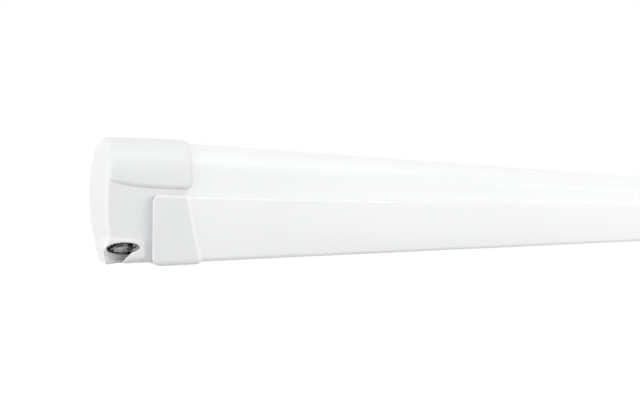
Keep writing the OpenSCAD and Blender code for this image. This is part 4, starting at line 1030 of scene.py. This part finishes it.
CLIP_FROM, CLIP_TO, CLIP_STEPS = -30, 214, 64
clip_section = [(13.9, 3.0), (14.2, 2.6), (16.6, 3.2), (17.0, 3.7), (17.0, 8.2), (16.7, 8.6),
                (15.9, 8.6), (15.6, 8.2), (15.5, 5.2), (13.9, 4.4)]
size = len(clip_section)
points = [on_shaft(r, math.radians(CLIP_FROM + (CLIP_TO - CLIP_FROM) * i / CLIP_STEPS), along)
          for i in range(CLIP_STEPS + 1) for r, along in clip_section]
faces = [tuple(range(size)), tuple(CLIP_STEPS * size + k for k in reversed(range(size)))]
for i in range(CLIP_STEPS):
    for k in range(size):
        a, b = i * size + k, i * size + (k + 1) % size
        faces.append((a, b, b + size, a + size))
clip = add_piece("winch_guide_clip", plated, points, faces, bend=30)
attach(clip, "cassette")

# STUDIO
# A wide pale floor below the reach of the legs, a white surround and soft lamps: one large box
# above, one at the left and three in front, from the left end round to the right.
FLOOR_HEIGHT, FLOOR_HALF = -2.72, 30.0
FLOOR_SHADE, FLOOR_GLOW, FILL = 0.6, 0.72, 0.525
ground = bpy.data.meshes.new("studio_floor")
corners = [(FLOOR_HALF * i, FLOOR_HALF * j, FLOOR_HEIGHT) for i, j in ((-1, -1), (1, -1), (1, 1), (-1, 1))]
ground.from_pydata(corners, [], [(0, 1, 2, 3)])
floor = bpy.data.objects.new("studio_floor", ground)
scene.collection.objects.link(floor)
pale, tree, shader = finish("pale_floor", Roughness=0.9, Specular_IOR_Level=0.1)
shader.inputs["Base Color"].default_value = (FLOOR_SHADE, FLOOR_SHADE, FLOOR_SHADE, 1)


def seen_rays(tree):
    """1 for the rays that show a background: seen straight, mirrored or through glass."""
    rays = put(tree, "ShaderNodeLightPath")
    mirror = put(tree, "ShaderNodeMath", operation="MAXIMUM")
    every = put(tree, "ShaderNodeMath", operation="MAXIMUM")
    tree.links.new(rays.outputs["Is Camera Ray"], mirror.inputs[0])
    tree.links.new(rays.outputs["Is Glossy Ray"], mirror.inputs[1])
    tree.links.new(mirror.outputs[0], every.inputs[0])
    tree.links.new(rays.outputs["Is Transmission Ray"], every.inputs[1])
    return every.outputs[0]


lift = put(tree, "ShaderNodeMath", operation="MULTIPLY")
lift.inputs[1].default_value = FLOOR_GLOW
glow = put(tree, "ShaderNodeEmission")
bright = put(tree, "ShaderNodeAddShader")
tree.links.new(seen_rays(tree), lift.inputs[0])
tree.links.new(lift.outputs[0], glow.inputs["Strength"])
tree.links.new(shader.outputs[0], bright.inputs[0])
tree.links.new(glow.outputs[0], bright.inputs[1])
tree.links.new(bright.outputs[0], tree.nodes["Material Output"].inputs["Surface"])
ground.materials.append(pale)

world = bpy.data.worlds.new("white_surround")
scene.world = world
world.use_nodes = True
tree = world.node_tree
sky = tree.nodes["Background"]
sky.inputs["Color"].default_value = (1, 1, 1, 1)
level = put(tree, "ShaderNodeMapRange")
level.inputs["To Min"].default_value = FILL
level.inputs["To Max"].default_value = 1.0
tree.links.new(seen_rays(tree), level.inputs["Value"])
tree.links.new(level.outputs["Result"], sky.inputs["Strength"])


def soft_lamp(name, place, aim, size, power):
    """A rectangular lamp turned towards its aim."""
    lamp = bpy.data.lights.new(name, "AREA")
    lamp.shape = "RECTANGLE"
    lamp.size, lamp.size_y = size
    lamp.energy = power
    holder = bpy.data.objects.new(name, lamp)
    holder.location = place
    holder.rotation_euler = (Vector(aim) - Vector(place)).to_track_quat("-Z", "Y").to_euler()
    scene.collection.objects.link(holder)


soft_lamp("overhead_box", (-0.6, -0.9, 2.4), (-0.6, 0.0, 0.0), (4.5, 2.5), 28)
soft_lamp("left_box", (-3.4, -0.3, 0.1), (-1.3, -0.05, 0.0), (2.0, 2.2), 33)
soft_lamp("front_box", (-1.0, -5.1, 0.34), (-1.0, 0.0, 0.0), (4.1, 2.7), 27.5)
soft_lamp("right_box", (1.1, -3.7, 1.0), (-1.1, -0.1, 0.0), (3.2, 3.2), 26)
soft_lamp("far_right_box", (3.6, -4.3, 1.0), (-0.4, -0.1, 0.0), (4.8, 3.2), 68)
